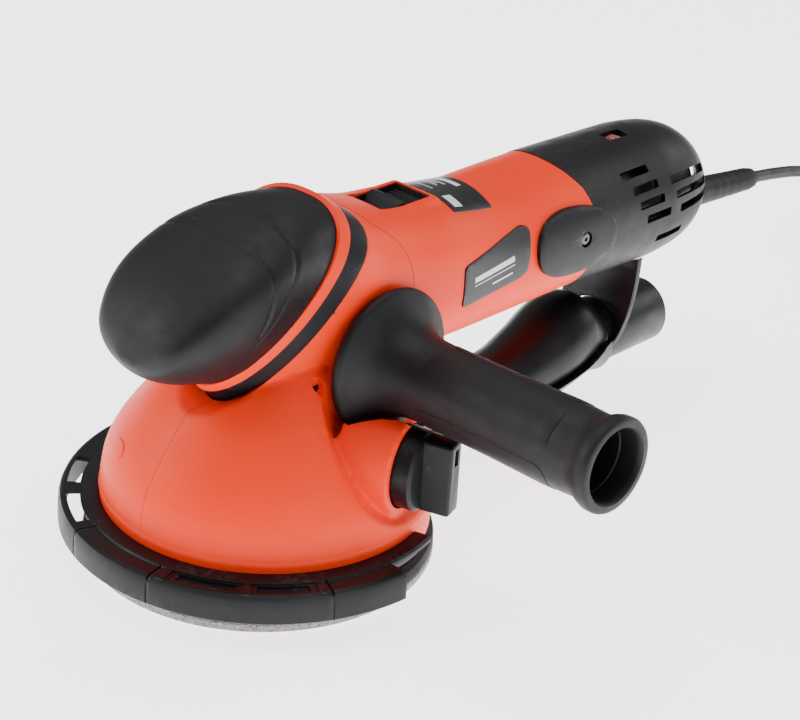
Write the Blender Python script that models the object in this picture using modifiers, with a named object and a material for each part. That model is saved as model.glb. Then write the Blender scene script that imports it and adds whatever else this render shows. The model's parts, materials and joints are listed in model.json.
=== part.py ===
"""Dual-mode orbital sander with a 150 mm pad: palm grip in front, side handle, inline motor.

Metres, +Z up. The origin is the middle of the sanding face, on the spindle axis.
The palm grip points along -Y, the motor and the cord along +Y, the side handle along +X.
"""
import math

import bmesh
import bpy
from mathutils import Matrix, Vector

# ---------------------------------------------------------------- driving dimensions
GAP = 0.0003                     # air between touching pieces
WALL = 0.0026                    # moulded shell thickness
PAD_RADIUS = 0.075
ORBIT = 0.0025                   # eccentricity of the pad axis
ORBIT_ANGLE = math.radians(-125)
BELL_RADIUS = 0.0704             # shroud at its rim
BELL_BOTTOM = 0.0155
GUARD_RADIUS = 0.0878
GUARD_TOP = 0.0253
GUARD_BOTTOM = 0.0123
BARREL_Z = 0.103                 # height of the motor axis
BARREL_RADIUS = 0.0332
CAP_START = 0.1703               # joint between the motor housing and the rear cap
CAP_END = 0.2775
CAP_DROP = math.radians(1.95)    # the cap's axis dips towards the cord
HANDLE_Y = 0.0308
HANDLE_Z = 0.0885
HANDLE_FACE = 0.0343             # back of the handle's flange
HANDLE_END = 0.1588
HANDLE_TILT = math.radians(0.9)  # rise of the side handle's axis away from the head
KNOB_ANGLE = math.radians(18)
KNOB_Z = 0.0540
KNOB_RADIUS = 0.0172
NOZZLE_Z = 0.031
NOZZLE_RADIUS = 0.0163
NOZZLE_END = 0.256
CORD_RADIUS = 0.0031
COIL_CENTRE = (0.0, 0.500)
COIL_MEAN = 0.034
COIL_WIDE = 3                    # turns side by side
COIL_HIGH = 3                    # layers of turns
PINION_TEETH = 9
CROWN_TEETH = 27

# the palm grip's rim lies in a plane tilted back over the shroud
RIM_TOP = Vector((0, 0.017, 0.156))
RIM_FORWARD = Vector((0, -0.761, 0.649)).normalized()
RIM_UP = Vector((0, 0.649, 0.761)).normalized()

ORBIT_X = ORBIT * math.cos(ORBIT_ANGLE)
ORBIT_Y = ORBIT * math.sin(ORBIT_ANGLE)
RELIEF_BASE = Vector((0, 0.2775, 0.0852))
RELIEF_OUT = (Vector((0, 0.3380, 0.0793)) - RELIEF_BASE).normalized()
HANDLE_BASE = Vector((0, HANDLE_Y, HANDLE_Z))
DIAL_AT = Vector((0.0041, 0.2132, 0.1262))
KNOB_OUT = Vector((math.cos(KNOB_ANGLE), math.sin(KNOB_ANGLE), 0))
AXIS_TURN = {"Z": (0, 0, 0), "Y": (-math.pi / 2, 0, 0), "X": (0, math.pi / 2, 0)}


def reset():
    """Empty scene with one collection for the parts and one for the cutters."""
    for obj in list(bpy.data.objects):
        bpy.data.objects.remove(obj, do_unlink=True)
    for name in ("orbital_sander", "cutters"):
        group = bpy.data.collections.new(name)
        bpy.context.scene.collection.children.link(group)


reset()


def material(name, rgb, roughness, metallic=0.0):
    mat = bpy.data.materials.new(name)
    mat.use_nodes = True
    shader = mat.node_tree.nodes["Principled BSDF"]
    shader.inputs["Base Color"].default_value = (*rgb, 1)
    shader.inputs["Roughness"].default_value = roughness
    shader.inputs["Metallic"].default_value = metallic
    return mat


ORANGE = material("orange_abs", (0.95, 0.11, 0.012), 0.38)
BLACK = material("black_nylon", (0.018, 0.019, 0.021), 0.48)
RUBBER = material("black_rubber", (0.014, 0.015, 0.017), 0.62)
STEEL = material("steel", (0.55, 0.56, 0.58), 0.28, 1.0)
CAST = material("cast_aluminium", (0.6, 0.61, 0.62), 0.45, 1.0)
COPPER = material("copper", (0.72, 0.3, 0.12), 0.35, 1.0)
CARBON = material("carbon", (0.03, 0.03, 0.03), 0.7)
FOAM = material("pad_foam", (0.03, 0.03, 0.032), 0.9)
HOOKS = material("hook_fabric", (0.2, 0.17, 0.16), 0.95)
BADGE = material("badge", (0.045, 0.046, 0.05), 0.4)
WINDOW = material("red_dial", (0.35, 0.03, 0.03), 0.25)
BOARD = material("circuit_board", (0.03, 0.16, 0.06), 0.5)


# ---------------------------------------------------------------- tools
def register(obj, mat=None):
    """Put a part in its collection with its material, or a cutter with the cutters."""
    group = "orbital_sander" if mat else "cutters"
    bpy.data.collections[group].objects.link(obj)
    if mat:
        obj.data.materials.append(mat)
    else:
        obj.hide_render = True
        obj.display_type = "WIRE"
    return obj


def from_bmesh(name, bm, mat=None, smooth=35):
    bmesh.ops.recalc_face_normals(bm, faces=bm.faces[:])
    mesh = bpy.data.meshes.new(name)
    bm.to_mesh(mesh)
    bm.free()
    mesh.shade_smooth()
    mesh.set_sharp_from_angle(angle=math.radians(smooth))
    return register(bpy.data.objects.new(name, mesh), mat)


def turned(name, profile, mat=None, axis="Z", at=(0, 0, 0), steps=20):
    """Turn (radius, height) points about an axis; a profile off the axis is a closed ring."""
    area = sum(a[0] * b[1] - b[0] * a[1] for a, b in zip(profile, profile[1:] + profile[:1]))
    points = profile if area < 0 else profile[::-1]
    closed = min(point[0] for point in points) > 1e-6
    mesh = bpy.data.meshes.new(name)
    edges = [(i, i + 1) for i in range(len(points) - 1)]
    if closed:
        edges.append((len(points) - 1, 0))
    mesh.from_pydata([(r, 0, z) for r, z in points], edges, [])
    obj = register(bpy.data.objects.new(name, mesh), mat)
    obj.location = at
    obj.rotation_euler = AXIS_TURN[axis]
    screw = obj.modifiers.new("turn", "SCREW")
    screw.steps = screw.render_steps = steps
    screw.use_merge_vertices = True
    screw.merge_threshold = 0.00001
    screw.use_smooth_shade = True
    return obj


def rod(name, radius, start, end, mat=None, sides=16):
    """Round bar between two points."""
    start, end = Vector(start), Vector(end)
    bm = bmesh.new()
    bmesh.ops.create_cone(bm, cap_ends=True, segments=sides, radius1=radius, radius2=radius,
                          depth=(end - start).length)
    obj = from_bmesh(name, bm, mat)
    obj.location = (start + end) / 2
    obj.rotation_euler = (end - start).to_track_quat("Z", "Y").to_euler()
    return obj


def block(name, low, high, mat=None, turn=0.0):
    """Box between two corners, turned about the Z axis."""
    low, high = Vector(low), Vector(high)
    bm = bmesh.new()
    bmesh.ops.create_cube(bm, size=1)
    bmesh.ops.scale(bm, vec=high - low, verts=bm.verts)
    middle = (low + high) / 2
    bmesh.ops.translate(bm, vec=middle, verts=bm.verts)
    if turn:
        bmesh.ops.rotate(bm, cent=(0, 0, 0), matrix=Matrix.Rotation(turn, 3, "Z"), verts=bm.verts)
    return from_bmesh(name, bm, mat)


def loft(name, rings, mat=None):
    """Closed skin over rings of equal point count; both ends are capped."""
    bm = bmesh.new()
    rows = [[bm.verts.new(point) for point in ring] for ring in rings]
    count = len(rows[0])
    for near, far in zip(rows, rows[1:]):
        for i in range(count):
            j = (i + 1) % count
            bm.faces.new((near[i], near[j], far[j], far[i]))
    bm.faces.new(rows[0])
    bm.faces.new(rows[-1])
    return from_bmesh(name, bm, mat)


def sector(name, inner, outer, start, end, low, high, mat=None, step=6.0):
    """Flat piece of a ring between two angles in degrees."""
    count = max(2, int(abs(end - start) / step) + 1)
    angles = [math.radians(start + (end - start) * i / (count - 1)) for i in range(count)]
    outline = [(outer * math.cos(a), outer * math.sin(a)) for a in angles]
    outline += [(inner * math.cos(a), inner * math.sin(a)) for a in reversed(angles)]
    return prism(name, outline, low, high, mat)


def prism(name, outline, low, high, mat=None):
    """Outline in X and Y, filled and raised between two heights."""
    bm = bmesh.new()
    face = bm.faces.new([bm.verts.new((x, y, low)) for x, y in outline])
    grown = bmesh.ops.extrude_face_region(bm, geom=[face])
    raised = [v for v in grown["geom"] if isinstance(v, bmesh.types.BMVert)]
    bmesh.ops.translate(bm, vec=(0, 0, high - low), verts=raised)
    return from_bmesh(name, bm, mat)


def side_prism(name, outline, half_width):
    """Outline of (y, z) points spread to both sides of the middle plane."""
    obj = prism(name, outline, -half_width, half_width)
    obj.matrix_world = Matrix(((0, 0, 1, 0), (1, 0, 0, 0), (0, 1, 0, 0), (0, 0, 0, 1)))
    return obj


def combine(obj, operation, *others, solver="EXACT"):
    """Boolean the others into an object, one after another."""
    for other in others:
        mod = obj.modifiers.new(f"{operation.lower()}_{other.name}", "BOOLEAN")
        mod.operation = operation
        mod.solver = solver
        mod.object = other
    return obj


def smooth_path(points, per_span):
    """Catmull-Rom curve through the points, with per_span points to each span."""
    points = [Vector(p) for p in points]
    padded = [points[0] * 2 - points[1], *points, points[-1] * 2 - points[-2]]
    path = []
    for a, b, c, d in zip(padded, padded[1:], padded[2:], padded[3:]):
        for k in range(per_span):
            t = k / per_span
            path.append(0.5 * (2 * b + (c - a) * t + (2 * a - 5 * b + 4 * c - d) * t * t
                               + (3 * b - a - 3 * c + d) * t ** 3))
    return path + [points[-1]]


def tube(name, path, radius, mat):
    """Round lead along a path, as a curve with filled caps."""
    curve = bpy.data.curves.new(name, "CURVE")
    curve.dimensions = "3D"
    curve.bevel_depth = radius
    curve.bevel_resolution = 2
    curve.use_fill_caps = True
    spline = curve.splines.new("POLY")
    spline.points.add(len(path) - 1)
    for point, place in zip(spline.points, path):
        point.co = (*place, 1)
    return register(bpy.data.objects.new(name, curve), mat)


# ---------------------------------------------------------------- body sections
def egg_ring(top, bottom, half_width, upper, power_up, power_low, inset=0.0, count=24):
    """Egg-shaped ring across X. upper is the share of its height above the widest line."""
    top, bottom = Vector(top), Vector(bottom)
    rise = (top - bottom).normalized()
    height = (top - bottom).length
    middle = top - rise * height * upper
    ring = []
    for i in range(count):
        angle = 2 * math.pi * (i + 0.5) / count
        c, s = math.cos(angle), math.sin(angle)
        power = power_up if s > 0 else power_low
        reach = (upper if s > 0 else 1 - upper) * height - inset
        x = (half_width - inset) * math.copysign(abs(c) ** (2 / power), c)
        ring.append(middle + Vector((x, 0, 0)) + rise * reach * math.copysign(abs(s) ** (2 / power), s))
    return ring


def on_rim(offset, slide):
    """Point of the middle plane, given by its distance from the rim plane and along it."""
    return RIM_TOP + RIM_FORWARD * offset + RIM_UP * slide


def rim_section(offset):
    """Egg section parallel to the rim plane, for offsets from 0 back to -0.014."""
    back = -offset / 0.014
    top = on_rim(offset, 0.0005 + 0.002 * back)
    bottom = on_rim(offset, -0.0885 - 0.002 * back)
    return top, bottom, 0.0308 + 0.0028 * back, 0.36 - 0.09 * back, 2.4 + 0.3 * back, 1.8


def upright_section(y, top, bottom, half_width, power_up, power_low):
    """Egg section across the motor axis."""
    upper = (top - BARREL_Z) / (top - bottom)
    return (0, y, top), (0, y, bottom), half_width, upper, power_up, power_low


BARREL_TOP = BARREL_Z + BARREL_RADIUS
BARREL_BOTTOM = BARREL_Z - BARREL_RADIUS
# the orange casing from the grip band back to the rear cap
CASING_SECTIONS = [
    rim_section(-0.0143),
    ((0, 0.038, 0.1465), (0, 0.016, 0.068), 0.0338, 0.42, 2.8, 2.0),
    upright_section(0.056, 0.1418, 0.067, 0.0335, 2.9, 2.1),
    upright_section(0.078, 0.1396, BARREL_BOTTOM, 0.0333, 2.7, 2.0),
    upright_section(0.096, 0.1373, BARREL_BOTTOM, BARREL_RADIUS, 2.3, 2.0),
    upright_section(0.114, BARREL_TOP, BARREL_BOTTOM, BARREL_RADIUS, 2.0, 2.0),
    upright_section(CAP_START, BARREL_TOP, BARREL_BOTTOM, BARREL_RADIUS, 2.0, 2.0),
]
HEAD_SECTIONS = CASING_SECTIONS[:4]
MOTOR_SECTIONS = CASING_SECTIONS[3:]
# side view of the joint between the head and the motor housing, as (y, z)
SEAM = [(0.0665, 0.0640), (0.0665, 0.0730), (0.0490, 0.0730), (0.0490, 0.1200), (0.0482, 0.1262),
        (0.0467, 0.1314), (0.0434, 0.1367), (0.0390, 0.1407), (0.0345, 0.1440), (0.0310, 0.1500)]


def hollow_loft(name, sections, mat, wall=WALL, overrun=0.002):
    """Skin over egg sections, hollowed by the same sections set in by the wall."""
    obj = loft(name, [egg_ring(*section) for section in sections], mat)
    inner = [egg_ring(*section, inset=wall) for section in sections]
    return combine(obj, "DIFFERENCE", loft(f"{name}_hollow", overrun_rings(inner, overrun)))


def overrun_rings(rings, overrun):
    """Extend a stack of rings past both its ends, straight along the last direction."""
    def middle(ring):
        return sum(ring, Vector()) / len(ring)

    first = (middle(rings[0]) - middle(rings[1])).normalized() * overrun
    last = (middle(rings[-1]) - middle(rings[-2])).normalized() * overrun
    return [[p + first for p in rings[0]], *rings, [p + last for p in rings[-1]]]


# ---------------------------------------------------------------- orange casing
BELL_PROFILE = [
    (0.0704, BELL_BOTTOM), (0.0704, 0.027), (0.0701, 0.0330), (0.0682, 0.0432), (0.0640, 0.0525),
    (0.0577, 0.0616), (0.0500, 0.0712), (0.0422, 0.0790), (0.0300, 0.0880), (0.0150, 0.0945),
    (0, 0.0960),
]


# hollow flank of the bell beside the handle, as (radius, distance from the middle plane)
FLARE = [(0, 0.0325), (0.0325, 0.0325), (0.0370, 0.0362), (0.0430, 0.0432), (0.0500, 0.0530),
         (0.0580, 0.0640), (0.0680, 0.0800), (0, 0.0800)]
# air that the handle's flange and neck need, on the same axis
HANDLE_AIR = [(0, HANDLE_FACE - GAP), (0.0332, HANDLE_FACE - GAP), (0.0332, 0.0440), (0.0290, 0.0475),
              (0.0232, 0.0530), (0.0200, 0.0590), (0.0186, 0.0780), (0, 0.0780)]


def handle_point(sign, out):
    """Place on the axis of the side handle, or of its twin seat on the left."""
    return HANDLE_BASE + Vector((sign * math.cos(HANDLE_TILT), 0, math.sin(HANDLE_TILT))) * out


def knob_point(out, across=0.0, up=0.0):
    """Place near the mode knob: distance out along its axis, across it and above it."""
    side = Vector((-KNOB_OUT.y, KNOB_OUT.x, 0))
    return KNOB_OUT * out + side * across + Vector((0, 0, KNOB_Z + up))


# slope that clears the bell in front of the grip band, as (offset of the ring, spread past the band)
COLLAR = [(-0.0139, 0.0006), (-0.0050, 0.0110), (0.0100, 0.0280), (0.0300, 0.0300)]


def head_shells():
    """The two halves of the orange head: dust bell, neck and the bosses on them."""
    bell = turned("bell_outer", [(0, BELL_BOTTOM)] + BELL_PROFILE, steps=28)
    bell_hollow = turned("bell_inner", [(0, BELL_BOTTOM - 0.003), (BELL_RADIUS - WALL, BELL_BOTTOM - 0.003)]
                         + [(max(0, r - WALL), z - WALL * (r < 0.068)) for r, z in BELL_PROFILE[1:]],
                         steps=28)
    for sign in (1, -1):
        centre = (0, HANDLE_Y, HANDLE_Z)
        flare = turned(f"flare_{sign}", [(r, sign * x) for r, x in FLARE], axis="X", at=centre)
        deep = turned(f"flare_inside_{sign}", [(r + WALL * (r > 0), sign * (x - WALL)) for r, x in FLARE],
                      axis="X", at=centre)
        combine(bell, "DIFFERENCE", flare, solver="MANIFOLD")
        combine(bell_hollow, "DIFFERENCE", deep, solver="MANIFOLD")
    for solid, grow in ((bell, 0.0), (bell_hollow, WALL)):
        rings = [egg_ring(*rim_section(offset), inset=-spread - grow) for offset, spread in COLLAR]
        combine(solid, "DIFFERENCE", loft("collar_slope", rings), solver="MANIFOLD")
    inner = loft("head_inner", overrun_rings([egg_ring(*s, inset=WALL) for s in HEAD_SECTIONS], 0.003))
    front = [rim_section(offset) for offset in (-0.0141, -0.007, 0.0, 0.012)]
    neck = loft("neck_clearance", [egg_ring(*section, inset=-2 * GAP) for section in front])
    for side, sign in (("right", 1), ("left", -1)):
        shell = loft(f"head_shell_{side}", [egg_ring(*s) for s in HEAD_SECTIONS], ORANGE)
        boss = rod(f"handle_boss_{side}", 0.0165, handle_point(sign, 0.022),
                   handle_point(sign, HANDLE_FACE + 0.0022), sides=24)
        air = turned(f"handle_air_{side}", [(r, sign * x) for r, x in HANDLE_AIR], axis="X",
                     at=HANDLE_BASE, steps=24)
        air.rotation_euler = (0, math.pi / 2 - sign * HANDLE_TILT, 0)
        bore = rod(f"handle_bore_{side}", 0.0045, handle_point(sign, 0.018), handle_point(sign, 0.045))
        duct_hole = rod(f"duct_hole_{side}", 0.0188, (0, 0.030, 0.0395), (0, 0.090, 0.0325), sides=24)
        rear = side_prism(f"head_end_{side}", SEAM + [(0.1200, 0.1500), (0.1200, 0.0640)], 0.05)
        keep = block(f"half_{side}", (min(GAP / 2 * sign, 0.1 * sign), -0.1, 0.0),
                     (max(GAP / 2 * sign, 0.1 * sign), 0.12, 0.2))
        combine(shell, "UNION", bell, boss, solver="MANIFOLD")
        if side == "right":
            pocket = rod("knob_boss", KNOB_RADIUS + 0.0035, knob_point(0.044), knob_point(0.0635), sides=24)
            combine(shell, "UNION", pocket, solver="MANIFOLD")
        combine(shell, "DIFFERENCE", air, inner, bell_hollow, neck, solver="MANIFOLD")
        combine(shell, "DIFFERENCE", bore, duct_hole, rear, solver="MANIFOLD")
        if side == "right":
            recess = rod("knob_recess", KNOB_RADIUS + 0.0008, knob_point(0.0595), knob_point(0.08), sides=24)
            shaft = rod("knob_bore", 0.0056, knob_point(0.04), knob_point(0.07))
            access = rod("access_hole", 0.0032, (0.030, -0.0128, 0.0935), (0.05, -0.0128, 0.0935))
            combine(shell, "DIFFERENCE", recess, shaft, access, solver="MANIFOLD")
        combine(shell, "INTERSECT", keep, solver="MANIFOLD")


# side view of the cap's edge, as (y, z): upright at the sides, running forward over the top
CAP_EDGE = [(CAP_START, 0.0600), (CAP_START, 0.1190), (0.1685, 0.1260), (0.1642, 0.1324), (0.1600, 0.1370),
            (0.1580, 0.1450)]


def motor_housing():
    obj = hollow_loft("motor_housing", CASING_SECTIONS, ORANGE)
    front = [(y + GAP, z) for y, z in SEAM] + [(-0.0600, 0.1500), (-0.0600, 0.0500), (0.0665, 0.0500)]
    switch_hole = block("switch_hole", (-0.0102, 0.0505, 0.128), (0.0102, 0.0820, 0.152))
    combine(obj, "DIFFERENCE", side_prism("housing_start", front, 0.05), switch_hole, solver="MANIFOLD")
    edge = [(y - GAP, z) for y, z in CAP_EDGE] + [(0.20, 0.1450), (0.20, 0.0600)]
    combine(obj, "DIFFERENCE", side_prism("housing_end", edge, 0.05), solver="MANIFOLD")
    for sign in (1, -1):
        window = rod(f"brush_window_{sign}", 0.0055, (sign * 0.026, 0.1605, BARREL_Z),
                     (sign * 0.04, 0.1605, BARREL_Z))
        combine(obj, "DIFFERENCE", window)


def rear_cap():
    """Black rear cap with its cooling slots, dial window and cord gland."""
    wall, r = 0.0024, BARREL_RADIUS
    outer = [(r, 0.156), (r, 0.230), (0.0323, 0.239), (0.0309, 0.248), (0.0283, 0.2562), (0.0242, 0.2632),
             (0.0190, 0.2690), (0.0130, 0.2740), (0.0085, CAP_END), (0.0085, CAP_END - wall),
             (0.0120, 0.2718), (0.0175, 0.2668), (0.0224, 0.2612), (0.0260, 0.2548), (0.0286, 0.2470),
             (0.0299, 0.238), (r - wall, 0.230), (r - wall, 0.156)]
    cap = turned("rear_cap", [(radius, y - CAP_START) for radius, y in outer], BLACK, "Y",
                 (0, CAP_START, BARREL_Z), steps=28)
    cap.rotation_euler = (-math.pi / 2 - CAP_DROP, 0, 0)
    front = CAP_EDGE + [(0.1500, 0.1450), (0.1500, 0.0600)]
    combine(cap, "DIFFERENCE", side_prism("cap_start", front, 0.05), solver="MANIFOLD")
    gland = rod("gland_hole", 0.0073, RELIEF_BASE - RELIEF_OUT * 0.017, RELIEF_BASE + RELIEF_OUT * 0.013)
    gland_boss = rod("gland_boss", 0.0105, RELIEF_BASE - RELIEF_OUT * 0.017,
                     RELIEF_BASE + RELIEF_OUT * 0.0055)
    dial = block("dial_window", (0.0007, 0.2065, 0.126), (0.0075, 0.2200, 0.14))
    combine(cap, "UNION", gland_boss, solver="MANIFOLD")
    combine(cap, "DIFFERENCE", gland, dial, solver="MANIFOLD")
    rows = [(0.1949, 0.2146, 42), (0.1994, 0.2178, 28), (0.2026, 0.2208, 15), (0.2076, 0.2254, 2),
            (0.2190, 0.2384, -21), (0.2269, 0.2580, 28), (0.2299, 0.2580, 15), (0.2333, 0.2580, 2)]
    for index, (start, end, lift) in enumerate(rows):
        for sign in (1, -1):
            angle = math.radians(lift)
            slot = block(f"vent_{index}_{sign}", (-0.0065, start, -0.0019), (0.0065, end, 0.0019))
            slot.rotation_euler = (0, -sign * angle, 0)
            axis_z = BARREL_Z - ((start + end) / 2 - CAP_START) * math.tan(CAP_DROP)
            slot.location = (sign * r * math.cos(angle), 0, axis_z + r * math.sin(angle))
            combine(cap, "DIFFERENCE", slot, solver="MANIFOLD")


# ---------------------------------------------------------------- palm grip
# top (y, z), bottom (y, z), half width, share of height above the widest line, power of the upper curve
GRIP_SECTIONS = [
    (0.0171, 0.1558, -0.0404, 0.0887, 0.0308, 0.36, 2.4),
    (-0.0014, 0.1566, -0.0450, 0.0905, 0.0332, 0.34, 2.6),
    (-0.0182, 0.1545, -0.0500, 0.0922, 0.0350, 0.33, 2.8),
    (-0.0314, 0.1508, -0.0545, 0.0938, 0.0352, 0.32, 2.9),
    (-0.0459, 0.1449, -0.0600, 0.0957, 0.0340, 0.32, 3.0),
    (-0.0570, 0.1382, -0.0655, 0.0980, 0.0315, 0.32, 3.0),
    (-0.0672, 0.1300, -0.0708, 0.1010, 0.0265, 0.32, 2.9),
    (-0.0735, 0.1226, -0.0750, 0.1045, 0.0200, 0.34, 2.6),
    (-0.0782, 0.1112, -0.0782, 0.1090, 0.0040, 0.50, 2.0),
]


def grip_rings(inset=0.0):
    rings = [egg_ring((0, top_y, top_z), (0, low_y, low_z), width, upper, power, 1.9, inset)
             for top_y, top_z, low_y, low_z, width, upper, power in GRIP_SECTIONS]
    return rings if inset == 0 else rings[:-2]


def palm_grip():
    grip = loft("palm_grip", grip_rings(), RUBBER)
    combine(grip, "DIFFERENCE", loft("palm_grip_hollow", overrun_rings(grip_rings(0.003), 0.002)))
    hollow_loft("grip_rim", [rim_section(-GAP), rim_section(-0.005)], ORANGE)
    hollow_loft("grip_band", [rim_section(-0.005 - GAP), rim_section(-0.014)], RUBBER)


# ---------------------------------------------------------------- side handle
def side_handle():
    face, end = HANDLE_FACE, HANDLE_END
    profile = [(0.0045, face), (0.026, face), (0.0305, face + 0.0012), (0.0321, face + 0.0035),
               (0.0312, face + 0.0062), (0.027, face + 0.0085), (0.0215, face + 0.0135),
               (0.0182, face + 0.021), (0.0172, face + 0.032), (0.0172, 0.100), (0.0178, 0.132),
               (0.0172, 0.147), (0.0182, 0.1515), (0.0200, 0.1545), (0.0200, end - 0.001),
               (0.0190, end), (0.0160, end), (0.0152, end - 0.003), (0.0145, end - 0.010),
               (0.0140, 0.078), (0.0045, 0.078)]
    grip = turned("handle_grip", profile, RUBBER, "X", HANDLE_BASE, steps=20)
    grip.rotation_euler = (0, math.pi / 2 - HANDLE_TILT, 0)
    rod("handle_stud", 0.0040, handle_point(1, 0.0275), handle_point(1, 0.0765), STEEL, sides=16)


# ---------------------------------------------------------------- mode knob and its ring
def mode_knob():
    knob = rod("mode_knob", KNOB_RADIUS, knob_point(0.0600), knob_point(0.0740), BLACK, sides=24)
    shaft = rod("knob_shaft", 0.0050, knob_point(0.0430), knob_point(0.0650), sides=20)
    bar = block("knob_bar", (0.0700, -0.0050, KNOB_Z - 0.0165), (0.0865, 0.0050, KNOB_Z + 0.0165),
                turn=KNOB_ANGLE)
    notch = block("knob_notch", (0.0850, -0.0022, KNOB_Z + 0.0085), (0.0900, 0.0022, KNOB_Z + 0.0185),
                  turn=KNOB_ANGLE)
    combine(knob, "UNION", shaft, bar)
    combine(knob, "DIFFERENCE", notch)


def mode_ring():
    """Sliding ring that locks the pad to the spindle, with the tab that the knob's cam moves."""
    ring = turned("mode_ring", [(0.021, 0.026), (0.036, 0.026), (0.036, 0.0295), (0.021, 0.0295)], STEEL)
    tab = block("mode_tab", (0.0320, -0.006, 0.0265), (0.0356, 0.006, 0.0525), turn=KNOB_ANGLE)
    eye = rod("mode_eye", 0.0035, knob_point(0.030, 0, -0.002), knob_point(0.045, 0, -0.002), sides=16)
    combine(ring, "UNION", tab)
    combine(ring, "DIFFERENCE", eye)


# ---------------------------------------------------------------- bumper guard
def pad_guard():
    """Clip-on bumper round the front of the bell, open underneath."""
    inner, outer, plate = BELL_RADIUS + GAP, GUARD_RADIUS, 0.0026
    profile = [(inner, 0.0158), (inner + 0.0022, 0.0158), (inner + 0.0022, GUARD_TOP - plate),
               (outer - 0.0028, GUARD_TOP - plate), (outer - 0.0028, GUARD_BOTTOM),
               (outer, GUARD_BOTTOM), (outer, GUARD_TOP - 0.0012), (outer - 0.0012, GUARD_TOP),
               (inner, GUARD_TOP)]
    guard = turned("pad_guard", profile, BLACK, steps=36)
    for name, low, high in (("slot_left_back", -149, -134), ("slot_left_front", -129, -111),
                            ("slot_front_left", -70, -51.5), ("slot_front_right", -46, -29.6)):
        combine(guard, "DIFFERENCE", sector(name, 0.0782, 0.0842, low, high, 0.02, 0.03))
    combine(guard, "DIFFERENCE", sector("guard_rear", 0.060, 0.100, 17, 163, 0.005, 0.035))
    combine(guard, "DIFFERENCE", sector("guard_right", 0.0782, 0.100, -3, 20, 0.005, 0.035))
    combine(guard, "DIFFERENCE", sector("guard_left", 0.0782, 0.100, 160, 183, 0.005, 0.035))


# ---------------------------------------------------------------- covers, badges, switch, dial
SIDE_SECTIONS = MOTOR_SECTIONS[:-1] + [
    upright_section(0.190, BARREL_TOP, BARREL_BOTTOM, BARREL_RADIUS, 2.0, 2.0)]


def curved_plate(name, outline, sign, mat, proud, thick):
    """Plate that follows the barrel's side, stamped from its skin by an outline of (y, z) points."""
    outer = [egg_ring(*section, inset=-proud - thick) for section in SIDE_SECTIONS]
    under = [egg_ring(*section, inset=-proud) for section in SIDE_SECTIONS]
    plate = loft(name, outer, mat)
    stamp = prism(f"{name}_outline", outline, 0.0, 0.06)
    stamp.matrix_world = Matrix(((0, 0, sign, 0), (1, 0, 0, 0), (0, 1, 0, 0), (0, 0, 0, 1)))
    combine(plate, "DIFFERENCE", loft(f"{name}_under", overrun_rings(under, 0.002)))
    return combine(plate, "INTERSECT", stamp)


def oval(centre_y, centre_z, length, height, lean, count=20):
    """Leaning oval of (y, z) points."""
    points = []
    for i in range(count):
        a = 2 * math.pi * i / count
        u, v = length / 2 * math.cos(a), height / 2 * math.sin(a)
        points.append((centre_y + u * math.cos(lean) - v * math.sin(lean),
                       centre_z + u * math.sin(lean) + v * math.cos(lean)))
    return points


def side_covers():
    badge = [(0.0793, 0.0987), (0.0796, 0.1135), (0.0825, 0.1165), (0.1190, 0.1212), (0.1235, 0.1190),
             (0.1243, 0.1150), (0.1200, 0.1030), (0.1165, 0.0995), (0.0830, 0.0955)]
    for side, sign in (("right", 1), ("left", -1)):
        curved_plate(f"side_badge_{side}", [(y + 0.002, z) for y, z in badge], sign, BADGE,
                     GAP, 0.0008)
        cover = curved_plate(f"brush_cover_{side}", oval(0.1555, 0.106, 0.054, 0.031, math.radians(-6)),
                             sign, BLACK, 2 * GAP, 0.0019)
        hole = rod(f"cover_hole_{side}", 0.0036, (sign * 0.030, 0.1605, 0.1065),
                   (sign * 0.040, 0.1605, 0.1065))
        combine(cover, "DIFFERENCE", hole)
        screw = rod(f"cover_screw_{side}", 0.0030, (sign * 0.0338, 0.1605, 0.1065),
                    (sign * 0.0350, 0.1605, 0.1065), STEEL, sides=20)
        socket = rod(f"screw_socket_{side}", 0.0013, (sign * 0.0342, 0.1605, 0.1065),
                     (sign * 0.036, 0.1605, 0.1065), sides=6)
        combine(screw, "DIFFERENCE", socket)


def power_switch():
    """Slide button on top of the head and the switch body under it."""
    button = block("switch_button", (-0.0095, 0.0578, 0.1337), (0.0095, 0.0812, 0.1378), BLACK)
    ridge = block("switch_ridge", (-0.0095, 0.0640, 0.1370), (0.0095, 0.0675, 0.1415))
    stem = block("switch_stem", (-0.003, 0.0665, 0.1300), (0.003, 0.0725, 0.1340))
    combine(button, "UNION", ridge, stem)
    base = block("switch_module", (-0.0095, 0.0510, 0.112), (0.0095, 0.0800, 0.1333), BLACK)
    groove = block("switch_groove", (-0.0045, 0.0535, 0.1290), (0.0045, 0.0785, 0.150))
    combine(base, "DIFFERENCE", groove)


def speed_dial():
    profile = [(0.0016, -0.0028), (0.0070, -0.0028), (0.0076, -0.0020), (0.0076, 0.0020), (0.0070, 0.0028),
               (0.0016, 0.0028)]
    turned("speed_dial", profile, WINDOW, "X", DIAL_AT, steps=24)
    reach = Vector((0.0065, 0, 0))
    rod("dial_axle", 0.0012, DIAL_AT - reach, DIAL_AT + reach, STEEL, sides=12)
    block("speed_board", (-0.014, 0.200, 0.1155), (0.014, 0.234, 0.1172), BOARD)


# ---------------------------------------------------------------- dust duct
# (y, z, radius) of the duct's round sections, from the bell to the nozzle
DUCT_ROUTE = [(0.0600, 0.0360, 0.0180), (0.0900, 0.0305, 0.0175), (0.1200, 0.0265, 0.0165),
              (0.1450, 0.0258, 0.0167), (0.1650, 0.0300, 0.0185), (0.1820, 0.0358, 0.0205),
              (0.1950, 0.0380, 0.0200), (0.2045, 0.0352, 0.0178), (0.2100, 0.0320, 0.0160)]
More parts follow.
